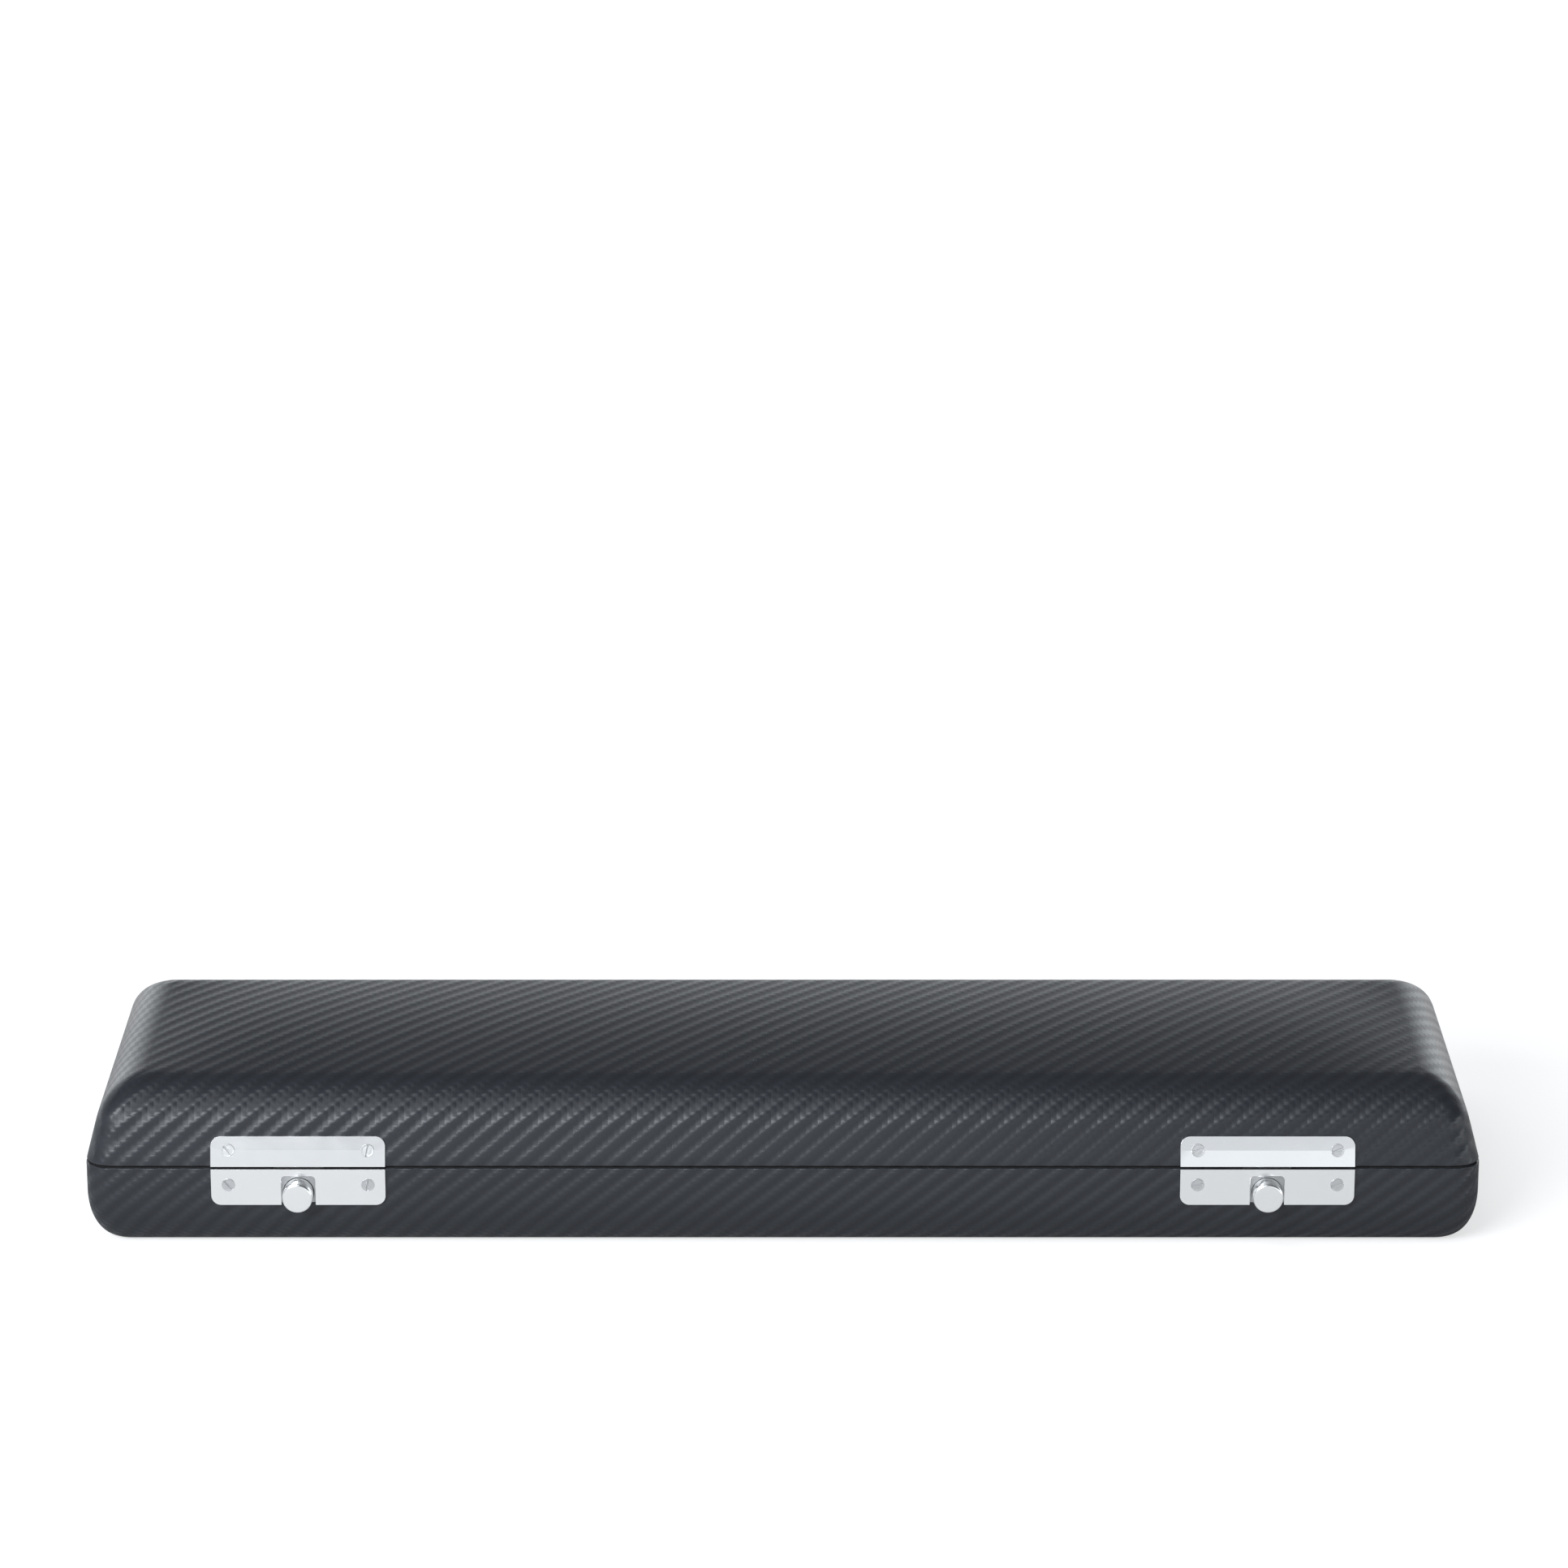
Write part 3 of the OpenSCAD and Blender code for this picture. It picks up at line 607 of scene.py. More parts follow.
def shellMesh(name, rings, around, weaveOf, joined):
    n, m = len(around), len(rings)
    rows = [ring.points(around) for ring in rings]
    points = [p for row in rows for p in row]
    faces, weave = [], []
    for j in range(m if joined else m - 1):
        k = (j + 1) % m
        for i in range(n):
            q = (i + 1) % n
            corners = [(j, i), (j, q), (k, q), (k, i)]
            faces.append([r * n + s for r, s in corners])
            weave += [weaveOf(rings, rows, i, r, s) for r, s in corners]
    mesh = bpy.data.meshes.new(name)
    mesh.from_pydata(points, [], faces)
    layer = mesh.uv_layers.new(name="weave")
    layer.data.foreach_set("uv", [c for uv in weave for c in uv])
    ironed = mesh.attributes.new("ironed", "FLOAT", "POINT")
    places = [(ring, p, s) for ring, row in zip(rings, rows) for p, s in zip(row, around)]
    ironed.data.foreach_set("value", [ironedAt(*place) for place in places])
    return mergedMesh(mesh)


def mergedMesh(mesh, flatten=0):  # joins what touches, and the faces that lie flat
    work = bmesh.new()
    work.from_mesh(mesh)
    bmesh.ops.remove_doubles(work, verts=work.verts, dist=1e-6)
    bmesh.ops.dissolve_degenerate(work, edges=work.edges, dist=1e-7)
    if flatten:
        bmesh.ops.dissolve_limit(work, angle_limit=math.radians(flatten), verts=work.verts, edges=work.edges)
    work.to_mesh(mesh)
    work.free()
    return mesh


def pieceOf(name, mesh, finish):
    piece = placed(name, mesh)
    mesh.materials.clear()
    mesh.materials.append(finish)
    return piece


def settle(piece):  # applies every modifier
    graph = bpy.context.evaluated_depsgraph_get()
    mesh = bpy.data.meshes.new_from_object(piece.evaluated_get(graph), depsgraph=graph)
    piece.modifiers.clear()
    piece.data = mesh


def smoothByAngle(mesh, degrees):
    mesh.polygons.foreach_set("use_smooth", [True] * len(mesh.polygons))
    mesh.set_sharp_from_angle(angle=math.radians(degrees))


def roll(ringAt, look):  # the rounded edge of a covering at the seam, from its inside to its outside
    thick, gap = look["thickness"], look["seamGap"]
    made = []
    for radius, flip in ((look["innerRoll"], True), (look["outerRoll"], False)):
        for k in range(look["rollSteps"] + 1):
            a = math.pi / 2 * k / look["rollSteps"]
            if flip:
                made.append(ringAt(thick - radius * (1 - math.cos(a)), gap + radius * (1 - math.sin(a))))
            else:
                made.append(ringAt(radius * (1 - math.sin(a)), gap + radius * (1 - math.cos(a))))
    return made


around = stations(coverLook)


def nearFront(i):  # whether the face after station i belongs to a long side
    here, after = around[i], around[(i + 1) % len(around)]
    return abs(here[3] + after[3]) > abs(here[2] + after[2])


def makeLidCovering():
    look = coverLook
    inner = lidRings(look, look["thickness"], look["seamGap"] + look["innerRoll"])
    outer = lidRings(look, 0, look["seamGap"] + look["outerRoll"])
    edge = roll(lambda depth, rise: lidWallRing(depth, rise, depth), look)
    rings = inner[::-1] + edge[1:-1] + outer

    def weaveOf(rings, rows, i, j, s):
        return lidWeave(rings[j], rows[j][s], nearFront(i))

    mesh = shellMesh("lidCovering", rings, around, weaveOf, joined=False)
    smoothByAngle(mesh, 50)
    piece = pieceOf("lidCovering", mesh, covering)
    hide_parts("lid_cover")
    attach(piece, "lid")


def blockMesh(low, high):
    work = bmesh.new()
    bmesh.ops.create_cube(work, size=1)
    for v in work.verts:
        v.co = [low[k] if v.co[k] < 0 else high[k] for k in range(3)]
    return meshFrom(work, "block")


def tubeMesh(name, rings, capped=True):  # rings of points, each joined to the next
    work = bmesh.new()
    rows = [[work.verts.new(point) for point in ring] for ring in rings]
    for row, after in zip(rows, rows[1:]):
        for k in range(len(row)):
            q = (k + 1) % len(row)
            work.faces.new((row[k], row[q], after[q], after[k]))
    if capped:
        work.faces.new(rows[0])
        work.faces.new(rows[-1])
    else:
        bmesh.ops.remove_doubles(work, verts=work.verts, dist=1e-7)
        bmesh.ops.dissolve_degenerate(work, edges=work.edges, dist=1e-8)
    bmesh.ops.recalc_face_normals(work, faces=work.faces)
    return meshFrom(work, name)


def roundAngles(steps):
    return [2 * math.pi * k / steps for k in range(steps)]


def rodMesh(x, z, radius, front, back, steps=48):  # a round bar along y
    circle = [(x + radius * math.sin(a), z + radius * math.cos(a)) for a in roundAngles(steps)]
    return tubeMesh("rod", [[(px, y, pz) for px, pz in circle] for y in (front, back)])


def meshFrom(work, name):
    mesh = bpy.data.meshes.new(name)
    work.to_mesh(mesh)
    work.free()
    return mesh


def cutWith(piece, cutters):
    for mesh in cutters:
        cutter = placed("cutter", mesh)
        modifier = piece.modifiers.new("cut", "BOOLEAN")
        modifier.object = cutter
        modifier.solver = "EXACT"
        modifier.operation = "DIFFERENCE"
        settle(piece)
        bpy.data.objects.remove(cutter)


latchX = 0.1473
mortise = {  # cut in the base's covering for a latch housing
    "clear": 0.0002,
    "halfWidth": 0.0075,
    "bottom": 0.011325,
    "sleeve": 0.0053,
    "buttonDrop": 0.008,
    "deep": 0.004,
}


def makeBaseCovering():
    look = coverLook
    thick = look["thickness"]
    outer = baseRings(look, 0, look["seamGap"] + look["outerRoll"], caseShape["panelProud"])
    inner = baseRings(look, thick, look["seamGap"] + look["innerRoll"], 0)
    corner = caseShape["seamCorner"] - caseShape["bottomCornerShare"] * caseShape["bottomRound"]
    last = outer[-1].run + caseShape["marginIn"] - caseShape["bottomRound"]
    low = Ring(caseShape["marginIn"], corner, caseShape["panelProud"], last)
    high = Ring(caseShape["marginIn"], corner, thick, last + thick)
    edge = roll(lambda depth, drop: baseRing(depth, depth, drop, drop - depth), look)
    rings = [high, low] + outer[::-1] + edge[1:-1][::-1] + inner
    lengths, total = lengthsRound(outer[0], around)
    repeat = 4 * twill["tow"]
    stretch = round(total / repeat) * repeat / total  # whole repeats, so that the twill meets itself

    def weaveOf(rings, rows, i, j, s):
        u = total if s == 0 and i == len(around) - 1 else lengths[s]
        return u * stretch, -rings[j].run / twill["baseStretch"]

    mesh = shellMesh("baseCovering", rings, around, weaveOf, joined=True)
    mesh.attributes.remove(mesh.attributes["ironed"])
    piece = pieceOf("baseCovering", mesh, covering)
    cutters = []
    half, height, clear = mortise["halfWidth"] + mortise["clear"], caseShape["baseHeight"], mortise["clear"]
    front, back = -caseShape["halfWidth"] - mortise["deep"], -caseShape["halfWidth"] + mortise["deep"]
    bottom = height - mortise["bottom"] - clear
    for x in (-latchX, latchX):
        cutters.append(blockMesh((x - half, front, bottom), (x + half, back, height + mortise["deep"])))
        cutters.append(rodMesh(x, height - mortise["buttonDrop"], mortise["sleeve"] + clear, front, back))
    cutWith(piece, cutters)
    smoothByAngle(piece.data, 50)
    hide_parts("base_cover")
    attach(piece, "base")


makeLidCovering()
makeBaseCovering()
print("coverings made")


# metal pieces with softened edges, from the frame's own shapes
def softenEdges(piece, width, segments, angle=32, creases=()):
    bevel = piece.modifiers.new("edges", "BEVEL")
    bevel.width = width
    bevel.segments = segments
    bevel.limit_method = "ANGLE"
    bevel.angle_limit = math.radians(angle)
    settle(piece)
    smoothByAngle(piece.data, 40)
    for edge in piece.data.edges:
        ends = [piece.data.vertices[k].co for k in edge.vertices]
        if any(all(abs(crease(end)) < 1e-6 for end in ends) for crease in creases):
            edge.use_edge_sharp = True
    flats = piece.modifiers.new("flats", "WEIGHTED_NORMAL")  # keeps flat faces flat beside the round edges
    flats.keep_sharp = True
    settle(piece)


def softCopy(name, node, body, slot, finish, width, alter=None, segments=3):
    piece = pieceOf(name, mergedMesh(nodes[node].data.copy(), flatten=1), finish)
    creases = alter(piece) if alter else ()
    softenEdges(piece, width, segments, creases=creases)
    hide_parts(node)
    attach(piece, body)


plateFold = {"rise": 0.0051, "angle": 2.2}  # a shallow fold along the lid's latch plate


def foldPlate(piece):  # returns the fold as a function that is zero along it, so that it stays sharp
    along = (0, -math.sin(lean), math.cos(lean))
    line = (0, -caseShape["halfWidth"], caseShape["baseHeight"])
    shift = math.tan(math.radians(plateFold["angle"]))

    def above(point):
        return sum((point[k] - line[k]) * along[k] for k in range(3)) - plateFold["rise"]

    work = bmesh.new()
    work.from_mesh(piece.data)
    middle = [line[k] + along[k] * plateFold["rise"] for k in range(3)]
    everything = work.verts[:] + work.edges[:] + work.faces[:]
    bmesh.ops.bisect_plane(work, geom=everything, plane_co=middle, plane_no=along)
    for v in work.verts:
        past = above(v.co)
        if past > 1e-6:
            v.co.y += past * shift * math.cos(lean)
            v.co.z -= past * shift * math.sin(lean)
    work.to_mesh(piece.data)
    work.free()
    return [above]


# cut from the housing's top edge, behind the gap of the plates, and going a little past its sides
housingStep = {"down": 0.0009, "back": 0.0022, "past": 0.001}


def stepHousing(piece):
    xs = [v.co.x for v in piece.data.vertices]
    front, top, past = -caseShape["halfWidth"], caseShape["baseHeight"], housingStep["past"]
    low = (min(xs) - past, front - past, top - housingStep["down"])
    high = (max(xs) + past, front + housingStep["back"], top + past)
    cutWith(piece, [blockMesh(low, high)])
    return ()


softEdge = {"plate": 0.00022, "thin": 0.00012, "round": 0.00025}
softPieces = [  # on each side: name, node, body, slot, finish, width of the edges, change of shape
    ("BasePlate", "_latch_base_plate", "base", "satin_plate", satinPlate, "plate"),
    ("LidPlate", "_latch_lid_plate", "lid", "satin_plate", satinPlate, "plate", foldPlate),
    # the housing's dark colour is painted shade of the notch and the seam gap
    ("Housing", "_latch_housing", "base", "satin_plate", dullPaintedShadePlate, "thin", stepHousing),
    ("Keeper", "_latch_keeper", "lid", "satin_plate", satinPlate, "thin"),
    ("BaseLeaf", "_hinge_base_leaf", "base", "satin_plate", leafPlate, "thin"),
    ("LidLeaf", "_hinge_lid_leaf", "lid", "satin_plate", leafPlate, "thin"),
    ("HingePin", "_hinge_pin", "base", "screw_steel", screwSteel, "round"),
]
for side in ("left", "right"):
    for name, node, body, slot, finish, edge, *alter in softPieces:
        softCopy(side + name, side + node, body, slot, finish, softEdge[edge], *alter)
softCopy("bottomPanel", "base_bottom_panel", "base", "covering", panelFinish, softEdge["round"])
print("metal pieces softened")


# buttons, each a profile of (radius, height) points spun about an axis, and their springs
buttonLook = {
    "diameter": 0.0092,
    "headBack": 0.0014,  # the head goes this far behind the covering
    "stem": 0.003,
    "edge": 0.0006,
    "bevel": 0.0002,  # behind the head and at the end of the stem
    "dome": 0.00012,
    "faceSteps": 6,
    "turns": 96,
}


def arcPoints(middle, radius, first, last, steps):
    made = []
    for k in range(steps + 1):
        a = math.radians(first + (last - first) * k / steps)
        made.append((middle[0] + radius * math.cos(a), middle[1] + radius * math.sin(a)))
    return made


def turned(name, profile, steps):  # spun about z, from the top of the axis to its bottom
    turns = roundAngles(steps)
    rings = [[(r * math.cos(a), r * math.sin(a), height) for a in turns] for r, height in profile]
    return tubeMesh(name, rings, capped=False)


def makeButton(side, look):
    low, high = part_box(side + "_latch_button")
    radius, stem, edge, bevel = look["diameter"] / 2, look["stem"] / 2, look["edge"], look["bevel"]
    face = -low.y  # heights run outwards from the middle of the case
    back = caseShape["halfWidth"] - look["headBack"]
    end = -high.y
    profile, steps = [(0, face)], look["faceSteps"]
    for k in range(1, steps):
        profile.append(((radius - edge) * k / steps, face - look["dome"] * (k / steps) ** 2))
    profile += arcPoints((radius - edge, face - look["dome"] - edge), edge, 90, 0, steps)
    profile += [(radius, back + bevel), (radius - bevel, back), (stem, back), (stem, end + bevel)]
    profile += [(stem - bevel, end), (0, end)]
    mesh = turned(side + "Button", profile, look["turns"])
    middle = ((low.x + high.x) / 2, (low.z + high.z) / 2)
    for v in mesh.vertices:
        x, y, z = v.co
        v.co = (middle[0] + x, -z, middle[1] + y)
    piece = pieceOf(side + "Button", mesh, satinPlate)
    smoothByAngle(mesh, 40)
    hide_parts(side + "_latch_button")
    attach(piece, side + "_latch_bolt")


makeButton("left", buttonLook)
makeButton("right", buttonLook)


springLook = {
    "wire": 0.00035,
    "radius": 0.0019,
    "front": 0.04969,  # both ends, from the middle of the case
    "back": 0.0459,
    "pressed": 0.34,  # share of its length that is left with the button in
    "height": 0.0182,
    "turns": 3,
    "rings": 32,  # on each turn
    "sides": 10,
}


def makeSpring(side, sign, look):  # one coil of wire on the stem
    wire = look["wire"] / 2
    first, last = wire - look["front"], -look["back"] - wire
    steps = look["turns"] * look["rings"]
    rings = []
    for i in range(steps + 1):
        a = 2 * math.pi * i / look["rings"]
        y = first + (last - first) * i / steps
        ring = []
        for b in roundAngles(look["sides"]):
            out = look["radius"] + wire * math.cos(b)
            x, z = sign * latchX + out * math.cos(a), look["height"] + out * math.sin(a)
            ring.append((x, y + wire * math.sin(b), z))
        rings.append(ring)
    piece = pieceOf(side + "Spring", tubeMesh(side + "Spring", rings), springSteel)
    smoothByAngle(piece.data, 60)
    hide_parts(side + "_button_spring")
    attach(piece, "base")
    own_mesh(piece)


makeSpring("left", -1, springLook)
makeSpring("right", 1, springLook)


# screws: one turned screw, set at each place by Geometry Nodes
screwLook = {
    "band": 0.04,  # this and the next seven are shares of the head's diameter
    "dome": 0.018,
    "edge": 0.03,
    "shank": 0.25,
    "tip": 0.2,
    "slot": 0.16,
    "slotFloor": -0.04,
    "bevel": 0.012,
    "faceSteps": 6,
    "turns": 32,
    "seed": 7,
}
latchScrew = {
    "head": 0.004,
    "plate": 0.0009,
    "length": 0.0042,
    "spread": 0.0212,  # from the middle of the plate
    "rise": 0.0053,  # from the seam
}
hingeScrew = {
    "head": 0.0032,
    "plate": 0.0009,
    "length": 0.0042,
    "spread": 0.01224,  # from one screw to the next
    "rise": 0.0054,
}
keeperScrew = {
    "head": 0.0026,
    "plate": 0.0012,
    "length": 0.0042,
    "spread": 0.003,
    "wall": 0.00485,  # from the lid's surface to the keeper's foot
    "rim": 0.0002,  # from the seam to the wall's edge
    "gap": 0.0001,  # from there to the foot
    "foot": 0.0085,
    "above": 0.001,  # above the foot's middle
}
hingeX = 0.1473


def screwMesh(name, head, plate, length):  # the head's flat face lies on the plate, at z = 0
    look = screwLook
    radius, band, dome = head / 2, head * look["band"], head * look["dome"]
    edge, shank = head * look["edge"], head * look["shank"]
    bend = (radius * radius + dome * dome) / (2 * dome)  # radius of the dome
    profile, steps = [(0, band + dome)], look["faceSteps"]
    for k in range(1, steps):
        x = (radius - edge) * k / steps
        profile.append((x, band + dome - bend + math.sqrt(bend * bend - x * x)))
    profile += arcPoints((radius - edge, band), edge, 70, 0, steps // 2)
    profile += [(radius, 0), (shank, -plate), (shank, head * look["tip"] - length), (0, -length)]
    mesh = turned(name, profile, look["turns"])
    blank = pieceOf(name, mesh, screwSteel)
    half = head * look["slot"] / 2
    cutWith(blank, [blockMesh((-head, -half, head * look["slotFloor"]), (head, half, head))])
    softenEdges(blank, head * look["bevel"], 2, 35)
    return blank


def screwTree():
    tree = bpy.data.node_groups.new("screwRow", "GeometryNodeTree")
    face, graph = tree.interface, Graph(tree)
    given = {}
    for name, kind in (("Places", "Geometry"), ("Screw", "Object"), ("Finish", "Material"), ("Seed", "Int")):
        face.new_socket(name, in_out="INPUT", socket_type="NodeSocket" + kind)
        given[name] = graph.add("NodeGroupInput", (), (), name)
    face.new_socket("Screws", in_out="OUTPUT", socket_type="NodeSocketGeometry")
    blank = graph.add("GeometryNodeObjectInfo", (), {"Object": given["Screw"]}, "Geometry")
    vector = {"data_type": "FLOAT_VECTOR"}
    heading = graph.add("GeometryNodeInputNamedAttribute", vector, {"Name": "heading"}, "Attribute")
    facing = graph.add("FunctionNodeAlignRotationToVector", {"axis": "Z"}, {"Vector": heading})
    turns = {3: math.pi, "Seed": given["Seed"]}
    turn = graph.add("FunctionNodeRandomValue", {"data_type": "FLOAT"}, turns, 1)
    spin = graph.add("ShaderNodeCombineXYZ", (), {"Z": turn})
    inputs = {"Points": given["Places"], "Instance": blank, "Rotation": facing}
    rows = graph.add("GeometryNodeInstanceOnPoints", (), inputs)
    driven = graph.add("GeometryNodeRotateInstances", (), {"Instances": rows, "Rotation": spin})
    real = graph.add("GeometryNodeRealizeInstances", (), {"Geometry": driven})
    dressed = graph.add("GeometryNodeSetMaterial", (), {"Geometry": real, "Material": given["Finish"]})
    graph.finish(dressed, "NodeGroupOutput", "Screws")
    return tree


screwRow = screwTree()


def setInputs(modifier, values):
    for item in modifier.node_group.interface.items_tree:
        if item.in_out == "INPUT" and item.name in values:
            modifier[item.identifier] = values[item.name]


def makeScrews(name, places, blank, node, body):  # places: (point, heading) pairs
    mesh = bpy.data.meshes.new(name)
    mesh.from_pydata([point for point, heading in places], [], [])
    headings = mesh.attributes.new("heading", "FLOAT_VECTOR", "POINT")
    headings.data.foreach_set("vector", [c for point, heading in places for c in heading])
    piece = placed(name, mesh)
    rows = piece.modifiers.new("screws", "NODES")
    rows.node_group = screwRow
    setInputs(rows, {"Screw": blank, "Finish": screwSteel, "Seed": screwLook["seed"]})
    settle(piece)
    smoothByAngle(piece.data, 35)
    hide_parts(node)
    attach(piece, body)


def leaning(x, side, out, rise):  # a place on the lid's leaning wall: out from it, rise along it
    y = caseShape["halfWidth"] - rise * math.sin(lean) + out * math.cos(lean)
    z = caseShape["baseHeight"] + rise * math.cos(lean) + out * math.sin(lean)
    return (x, side * y, z)


def screwsAlong(name, look, middle, side, ends):  # side: -1 at the front, 1 at the back
    blank = screwMesh(name + "Screw", look["head"], look["plate"], look["length"])
    xs = [half * middle + end * look["spread"] for half in (-1, 1) for end in ends]
    y, z = side * (caseShape["halfWidth"] + look["plate"]), caseShape["baseHeight"] - look["rise"]
    leaned = (0, side * math.cos(lean), math.sin(lean))
    below = [((x, y, z), (0, side, 0)) for x in xs]
    above = [(leaning(x, side, look["plate"], look["rise"]), leaned) for x in xs]
    makeScrews(name + "BaseScrews", below, blank, name + "_base_screws", "base")
    makeScrews(name + "LidScrews", above, blank, name + "_lid_screws", "lid")
    bpy.data.objects.remove(blank)


def keeperScrews(look):
    blank = screwMesh("keeperScrew", look["head"], look["plate"], look["length"])
    xs = [half * latchX + end * look["spread"] for half in (-1, 1) for end in (-1, 1)]
    edge = (look["wall"] * math.sin(lean) + look["rim"]) / math.cos(lean)
    rise = edge + look["gap"] + look["foot"] / 2 + look["above"]
    inward = (0, math.cos(lean), -math.sin(lean))
    inside = [(leaning(x, -1, -look["wall"] - look["plate"], rise), inward) for x in xs]
    makeScrews("keeperScrews", inside, blank, "keeper_screws", "lid")
    bpy.data.objects.remove(blank)


screwsAlong("latch", latchScrew, latchX, -1, (-1, 1))
screwsAlong("hinge", hingeScrew, hingeX, 1, (-1, 0, 1))
keeperScrews(keeperScrew)
print("screws set")


# plush interior
liningLook = {
    "depth": 0.00515,  # from the case's surface to the lining's back
    "pad": 0.0022,  # before it swells
    "rise": 0.0035,  # lower edge above the seam
    "rimRoll": 0.0008,
    "mass": 0.3,
    "pressure": 4,
    "frames": 20,
    "cap": 0.0012,
    "longSteps": 72,
    "shortSteps": 18,
    "cornerSteps": 6,
    "arcSteps": 10,
    "wallSteps": 4,
    "rimSteps": 6,
    "crownSteps": 9,
    "notchHalf": 0.0065,
    "notchDeep": 0.014,
    "notchTop": 0.01105,
}


def makeLidLining():
    look = liningLook
    back, pad, rim = look["depth"], look["pad"], look["rimRoll"]
    outer = lidRings(look, back, look["rise"] + rim)
    inner = lidRings(look, back + pad, look["rise"] + rim)
    edge = []
    for k in range(1, look["rimSteps"]):
        a = math.pi * k / look["rimSteps"]
        depth = back + pad / 2 - pad / 2 * math.cos(a)
        edge.append(lidWallRing(depth, look["rise"] + rim * (1 - math.sin(a))))
    rings = outer[::-1] + edge + inner
    turns = stations(look)
    mesh = shellMesh("lidLining", rings, turns, lambda r, rows, i, j, s: rows[j][s][:2], joined=False)
    mesh.flip_normals()
    piece = pieceOf("lidLining", mesh, plushFinish)
    pinned = piece.vertex_groups.new(name="pinned")
    tree = nearestTo([p for ring in outer + edge for p in ring.points(turns)])
    pinned.add([v.index for v in mesh.vertices if tree.find(v.co)[2] < 1e-5], 1, "REPLACE")
    swell(piece, look)
    finer = piece.modifiers.new("finer", "SUBSURF")
    finer.levels = finer.render_levels = 1
    settle(piece)
    half, front, bottom = look["notchHalf"], -caseShape["halfWidth"], caseShape["baseHeight"]
    deep, top = front + look["notchDeep"], bottom + look["notchTop"] * math.cos(lean)
    cutWith(piece, [blockMesh((x - half, front, bottom), (x + half, deep, top)) for x in (-latchX, latchX)])
    smoothByAngle(piece.data, 60)
    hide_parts("lid_lining")
    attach(piece, "lid")


def nearestTo(points):
    tree = kdtree.KDTree(len(points))
    for k, point in enumerate(points):
        tree.insert(point, k)
    tree.balance()
    return tree


def swell(piece, look):
    start = [v.co.copy() for v in piece.data.vertices]
    cloth = piece.modifiers.new("cloth", "CLOTH")
    cloth.collision_settings.use_collision = False
    sheet = cloth.settings
    sheet.quality = 5
    sheet.mass = look["mass"]
    sheet.use_pressure = True
    sheet.uniform_pressure_force = look["pressure"]
    sheet.vertex_group_mass = "pinned"
    sheet.effector_weights.gravity = 0
    for step in range(1, look["frames"] + 1):
        scene.frame_set(step)
    settle(piece)
    scene.frame_set(1)
    cap = look["cap"]
    most = 0
    for v, home in zip(piece.data.vertices, start):
        moved = v.co - home
        most = max(most, moved.length)
        v.co = home + moved * (cap / (cap + moved.length))
    print("lining swelled by", round(most * 1000, 2), "mm before the cap")


insertLook = {"voxel": 0.0013, "rounds": 8, "factor": 0.6}
stemRoom = {  # wider than the stem needs, because smoothing narrows it
    "radius": 0.0032,
    "front": 0.055,
    "back": 0.0409,
    "height": 0.0182,
    "short": 0.0001,  # so that no two faces of the cut coincide
}
lipEdge = 0.0009


def makeInsert():
    look = insertLook
    piece = pieceOf("baseInsert", mergedMesh(nodes["base_insert"].data.copy()), plushFinish)
    radius, height = stemRoom["radius"], stemRoom["height"]
    front, back = -stemRoom["front"], -stemRoom["back"]
    for x in (-latchX, latchX):
        corner = (x + radius, back - stemRoom["short"], caseShape["baseHeight"])
        above = blockMesh((x - radius, front, height), corner)
        cutWith(piece, [rodMesh(x, height, radius, front, back), above])
    remesh = piece.modifiers.new("remesh", "REMESH")
    remesh.mode = "VOXEL"
    remesh.voxel_size = look["voxel"]
    soften = piece.modifiers.new("soften", "SMOOTH")
    soften.iterations = look["rounds"]
    soften.factor = look["factor"]
    settle(piece)
    smoothByAngle(piece.data, 180)
    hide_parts("base_insert")
    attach(piece, "base")
    print("insert has", len(piece.data.polygons), "faces")


makeLidLining()
makeInsert()
softCopy("liningLip", "base_lining_lip", "base", "plush", plushFinish, lipEdge, segments=4)
print("interior made")


# the nodes that show as they are get their finishes
nodeFinishes = {"shell": woodFinish, "catch": springSteel}


def dressNodes():
    for name, node in nodes.items():
        for word, finish in nodeFinishes.items():
            if name.endswith(word):
                node.data.materials.clear()
                node.data.materials.append(finish)


dressNodes()


# floor, world and lamps
studio = {
    "floorSize": 12,
    "floorDrop": 0.0002,
    "floorShade": 0.75,
    # light that only the camera sees, so that the floor is white: more of it away from the case
    "floorCamera": {"near": 0.64, "more": 0.2, "from": 0.3, "fade": 0.35},
    # light that only mirror rays see
    "floorGlossy": {"front": 0.25, "back": 0.8, "from": 0.055, "fade": 0.03, "gain": 2},
    "worldPlain": 0.3,
    "tint": rgb(0.925, 0.965, 1.0),
    # what the case mirrors of the room is brighter at both sides of the back
    "sides": {"from": 0.13, "gain": 3.6, "most": 0.8, "behind": 0.885, "spread": 3},
    "low": {"under": 0.35, "gain": 4},  # which part of the front counts as low
    "lowRight": 2.8,  # brighter low on the right of the front
    "highLeft": 2.4,  # and high on its left
    "highRange": (0.4, 2.2),  # as a share of the light straight ahead
    # from the front horizon over the top to the back horizon
    "mirrored": [
        (0, 0.9), (0.05, 0.86), (0.065, 0.62), (0.09, 0.5), (0.17, 0.5), (0.35, 0.32), (0.5, 0.22),
        (0.7, 0.16), (0.83, 0.085), (0.883, 0.21), (0.93, 0.72), (0.96, 1.0), (1, 1.1),
    ],
}
lamps = [
    {"name": "frontBox", "place": (-0.72, -1.14, 0.74), "size": (0.9, 0.42), "power": 15.2},
    {"name": "highBox", "place": (-0.38, -0.6, 1.32), "size": (0.9, 0.5), "power": 3.2},
]


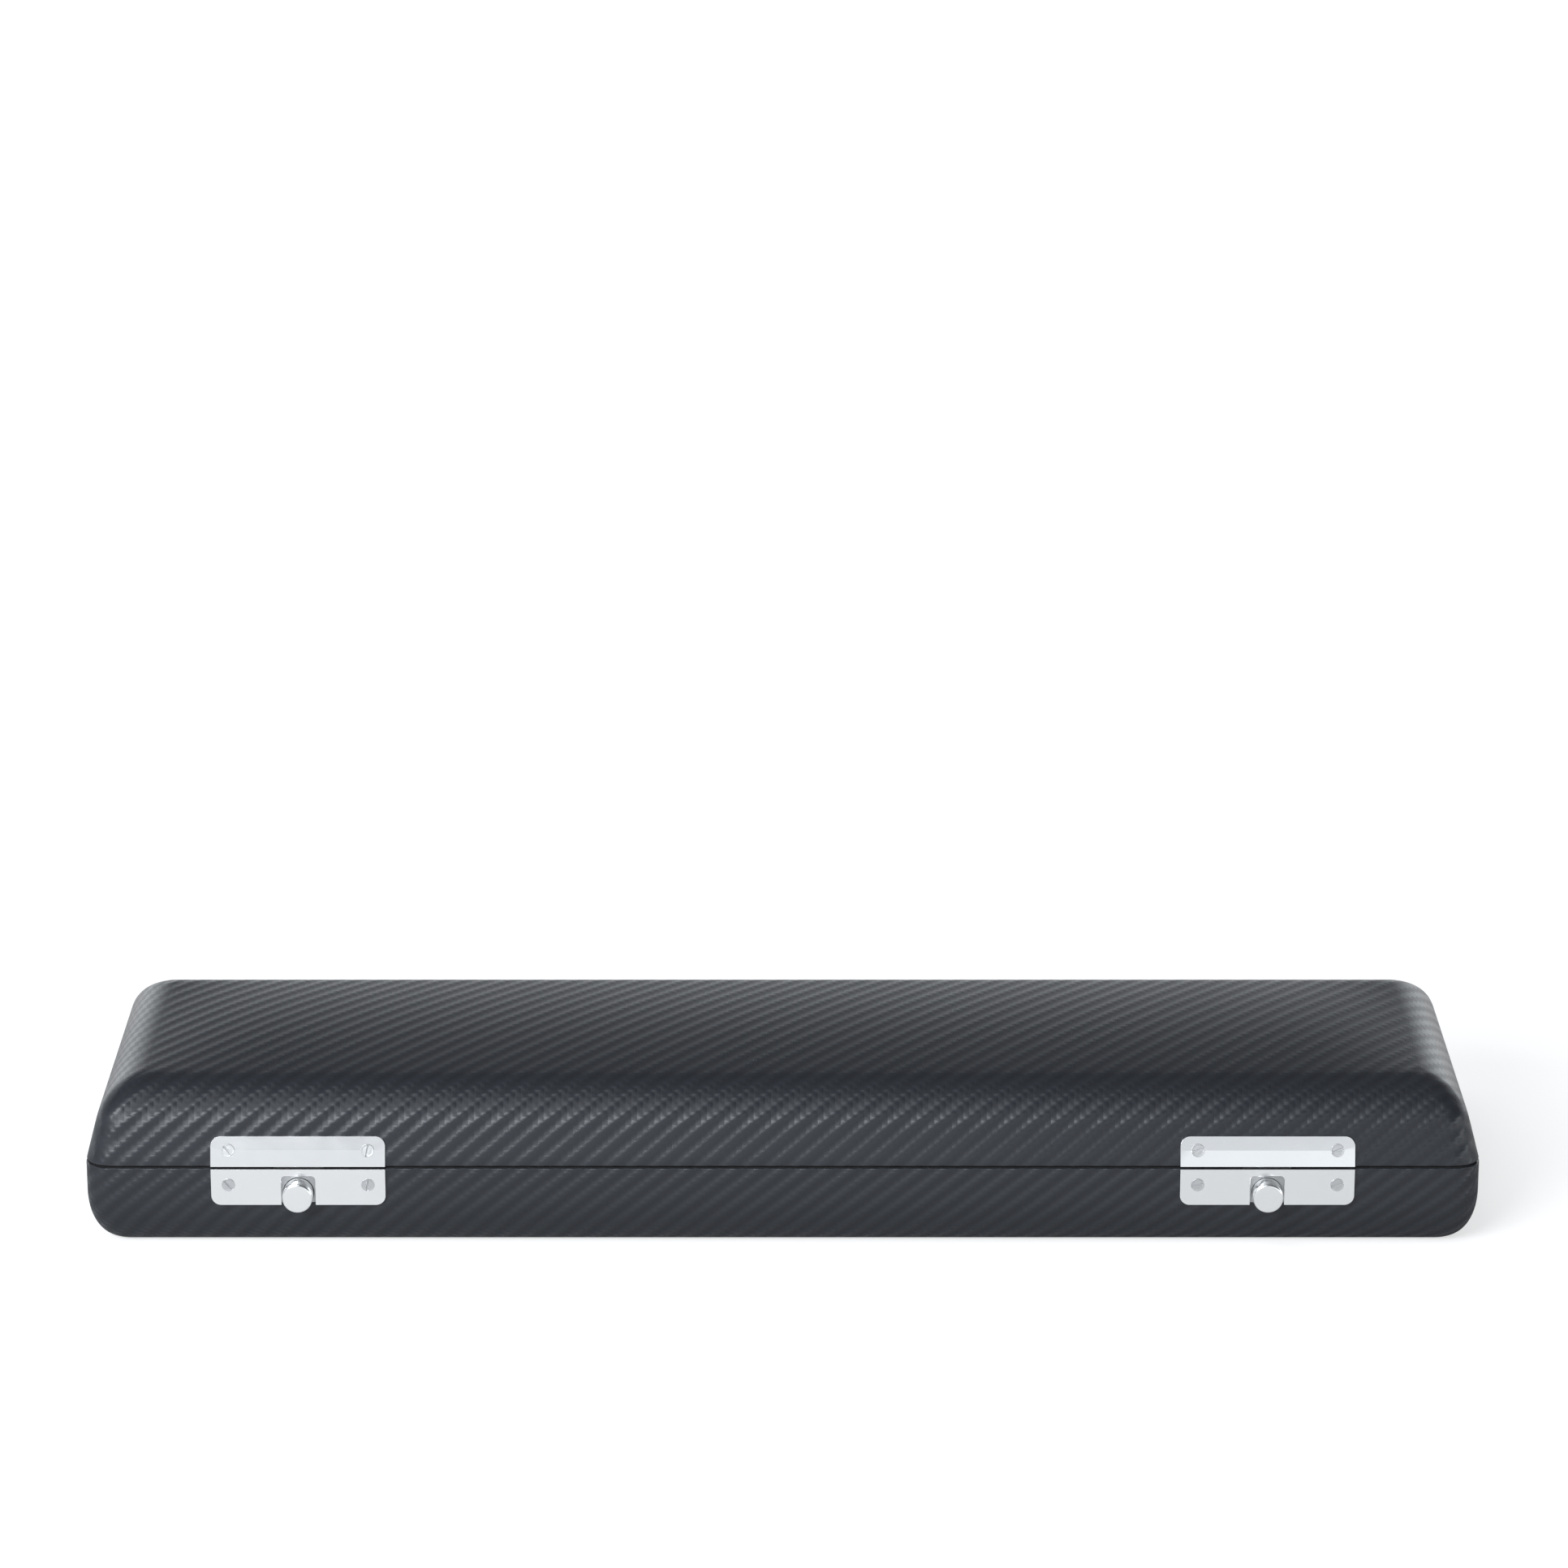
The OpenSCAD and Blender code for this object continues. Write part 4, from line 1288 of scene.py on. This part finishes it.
def makeFloor(look):
    half, z = look["floorSize"] / 2, -look["floorDrop"]
    corners = [(-half, -half, z), (half, -half, z), (half, half, z), (-half, half, z)]
    mesh = bpy.data.meshes.new("floor")
    mesh.from_pydata(corners, [], [(0, 1, 2, 3)])
    material = bpy.data.materials.new("floorFinish")
    shading = shadingOf(material)
    camera, glossy = shading.rays("Is Camera Ray"), shading.rays("Is Glossy Ray")
    matt = shading.add("ShaderNodeBsdfDiffuse", (), {"Color": rgb(*[look["floorShade"]] * 3)})
    x, y, _ = shading.axes(shading.place())
    seen = look["floorCamera"]
    away = (((x * x + y * y) ** 0.5 - seen["from"]) / seen["fade"]).most(0).least(1)
    glow = look["floorGlossy"]
    ahead = ((0 - y - glow["from"]) / glow["fade"]).most(0).least(1) * glow["front"]
    behind = (y * glow["gain"]).most(0).least(1) * glow["back"]
    strength = camera * (away * seen["more"] + seen["near"]) + glossy * (ahead + behind)
    light = shading.add("ShaderNodeEmission", (), {"Color": rgb(1, 1, 1), "Strength": strength})
    shading.finish(shading.add("ShaderNodeAddShader", (), (matt, light)))
    mesh.materials.append(material)
    placed("floor", mesh)


def makeWorld(look):
    world = bpy.data.worlds.new("studio")
    scene.world = world
    shading = shadingOf(world)
    camera, glossy = shading.rays("Is Camera Ray"), shading.rays("Is Glossy Ray")
    through = shading.rays("Is Transmission Ray")
    heading = shading.add("ShaderNodeTexCoord", (), (), "Generated")
    aside, back, up = shading.axes(heading)
    arc = shading.add("ShaderNodeMath", {"operation": "ARCTAN2"}, (up, 0 - back)) / math.pi
    mirrored = shading.add("ShaderNodeValToRGB", {"stops": look["mirrored"]}, (arc,))
    sides = look["sides"]
    edge = (sides["behind"] - arc).most(0) * sides["spread"] + sides["from"]
    wide = ((aside.maths("ABSOLUTE", aside) - edge) * sides["gain"]).most(0).least(sides["most"])
    low = ((look["low"]["under"] - up) * look["low"]["gain"]).most(0).least(1)
    least, most = look["highRange"]
    turn = (1 - aside * (1 - low) * look["highLeft"]).most(least).least(most)
    ahead = mirrored * turn + low * (aside * look["lowRight"]).most(0)
    mirrored = shading.mix(back > 0, ahead, mirrored + wide)
    level = glossy * (mirrored - look["worldPlain"]) + look["worldPlain"]
    seen = camera.most(through)
    strength = seen * (1 - level) + level
    colour = shading.tint(seen, look["tint"], rgb(1, 1, 1))
    sky = shading.add("ShaderNodeBackground", (), {"Color": colour, "Strength": strength})
    shading.finish(sky, "ShaderNodeOutputWorld")


def makeLamp(look):
    data = bpy.data.lights.new(look["name"], "AREA")
    data.shape = "RECTANGLE"
    data.size, data.size_y = look["size"]
    data.energy = look["power"]
    data.color = studio["tint"][:3]
    lamp = placed(look["name"], data)
    lamp.location = look["place"]
    lamp.rotation_euler = (-lamp.location).to_track_quat("-Z", "Y").to_euler()


makeFloor(studio)
makeWorld(studio)
for look in lamps:
    makeLamp(look)
print("studio made")
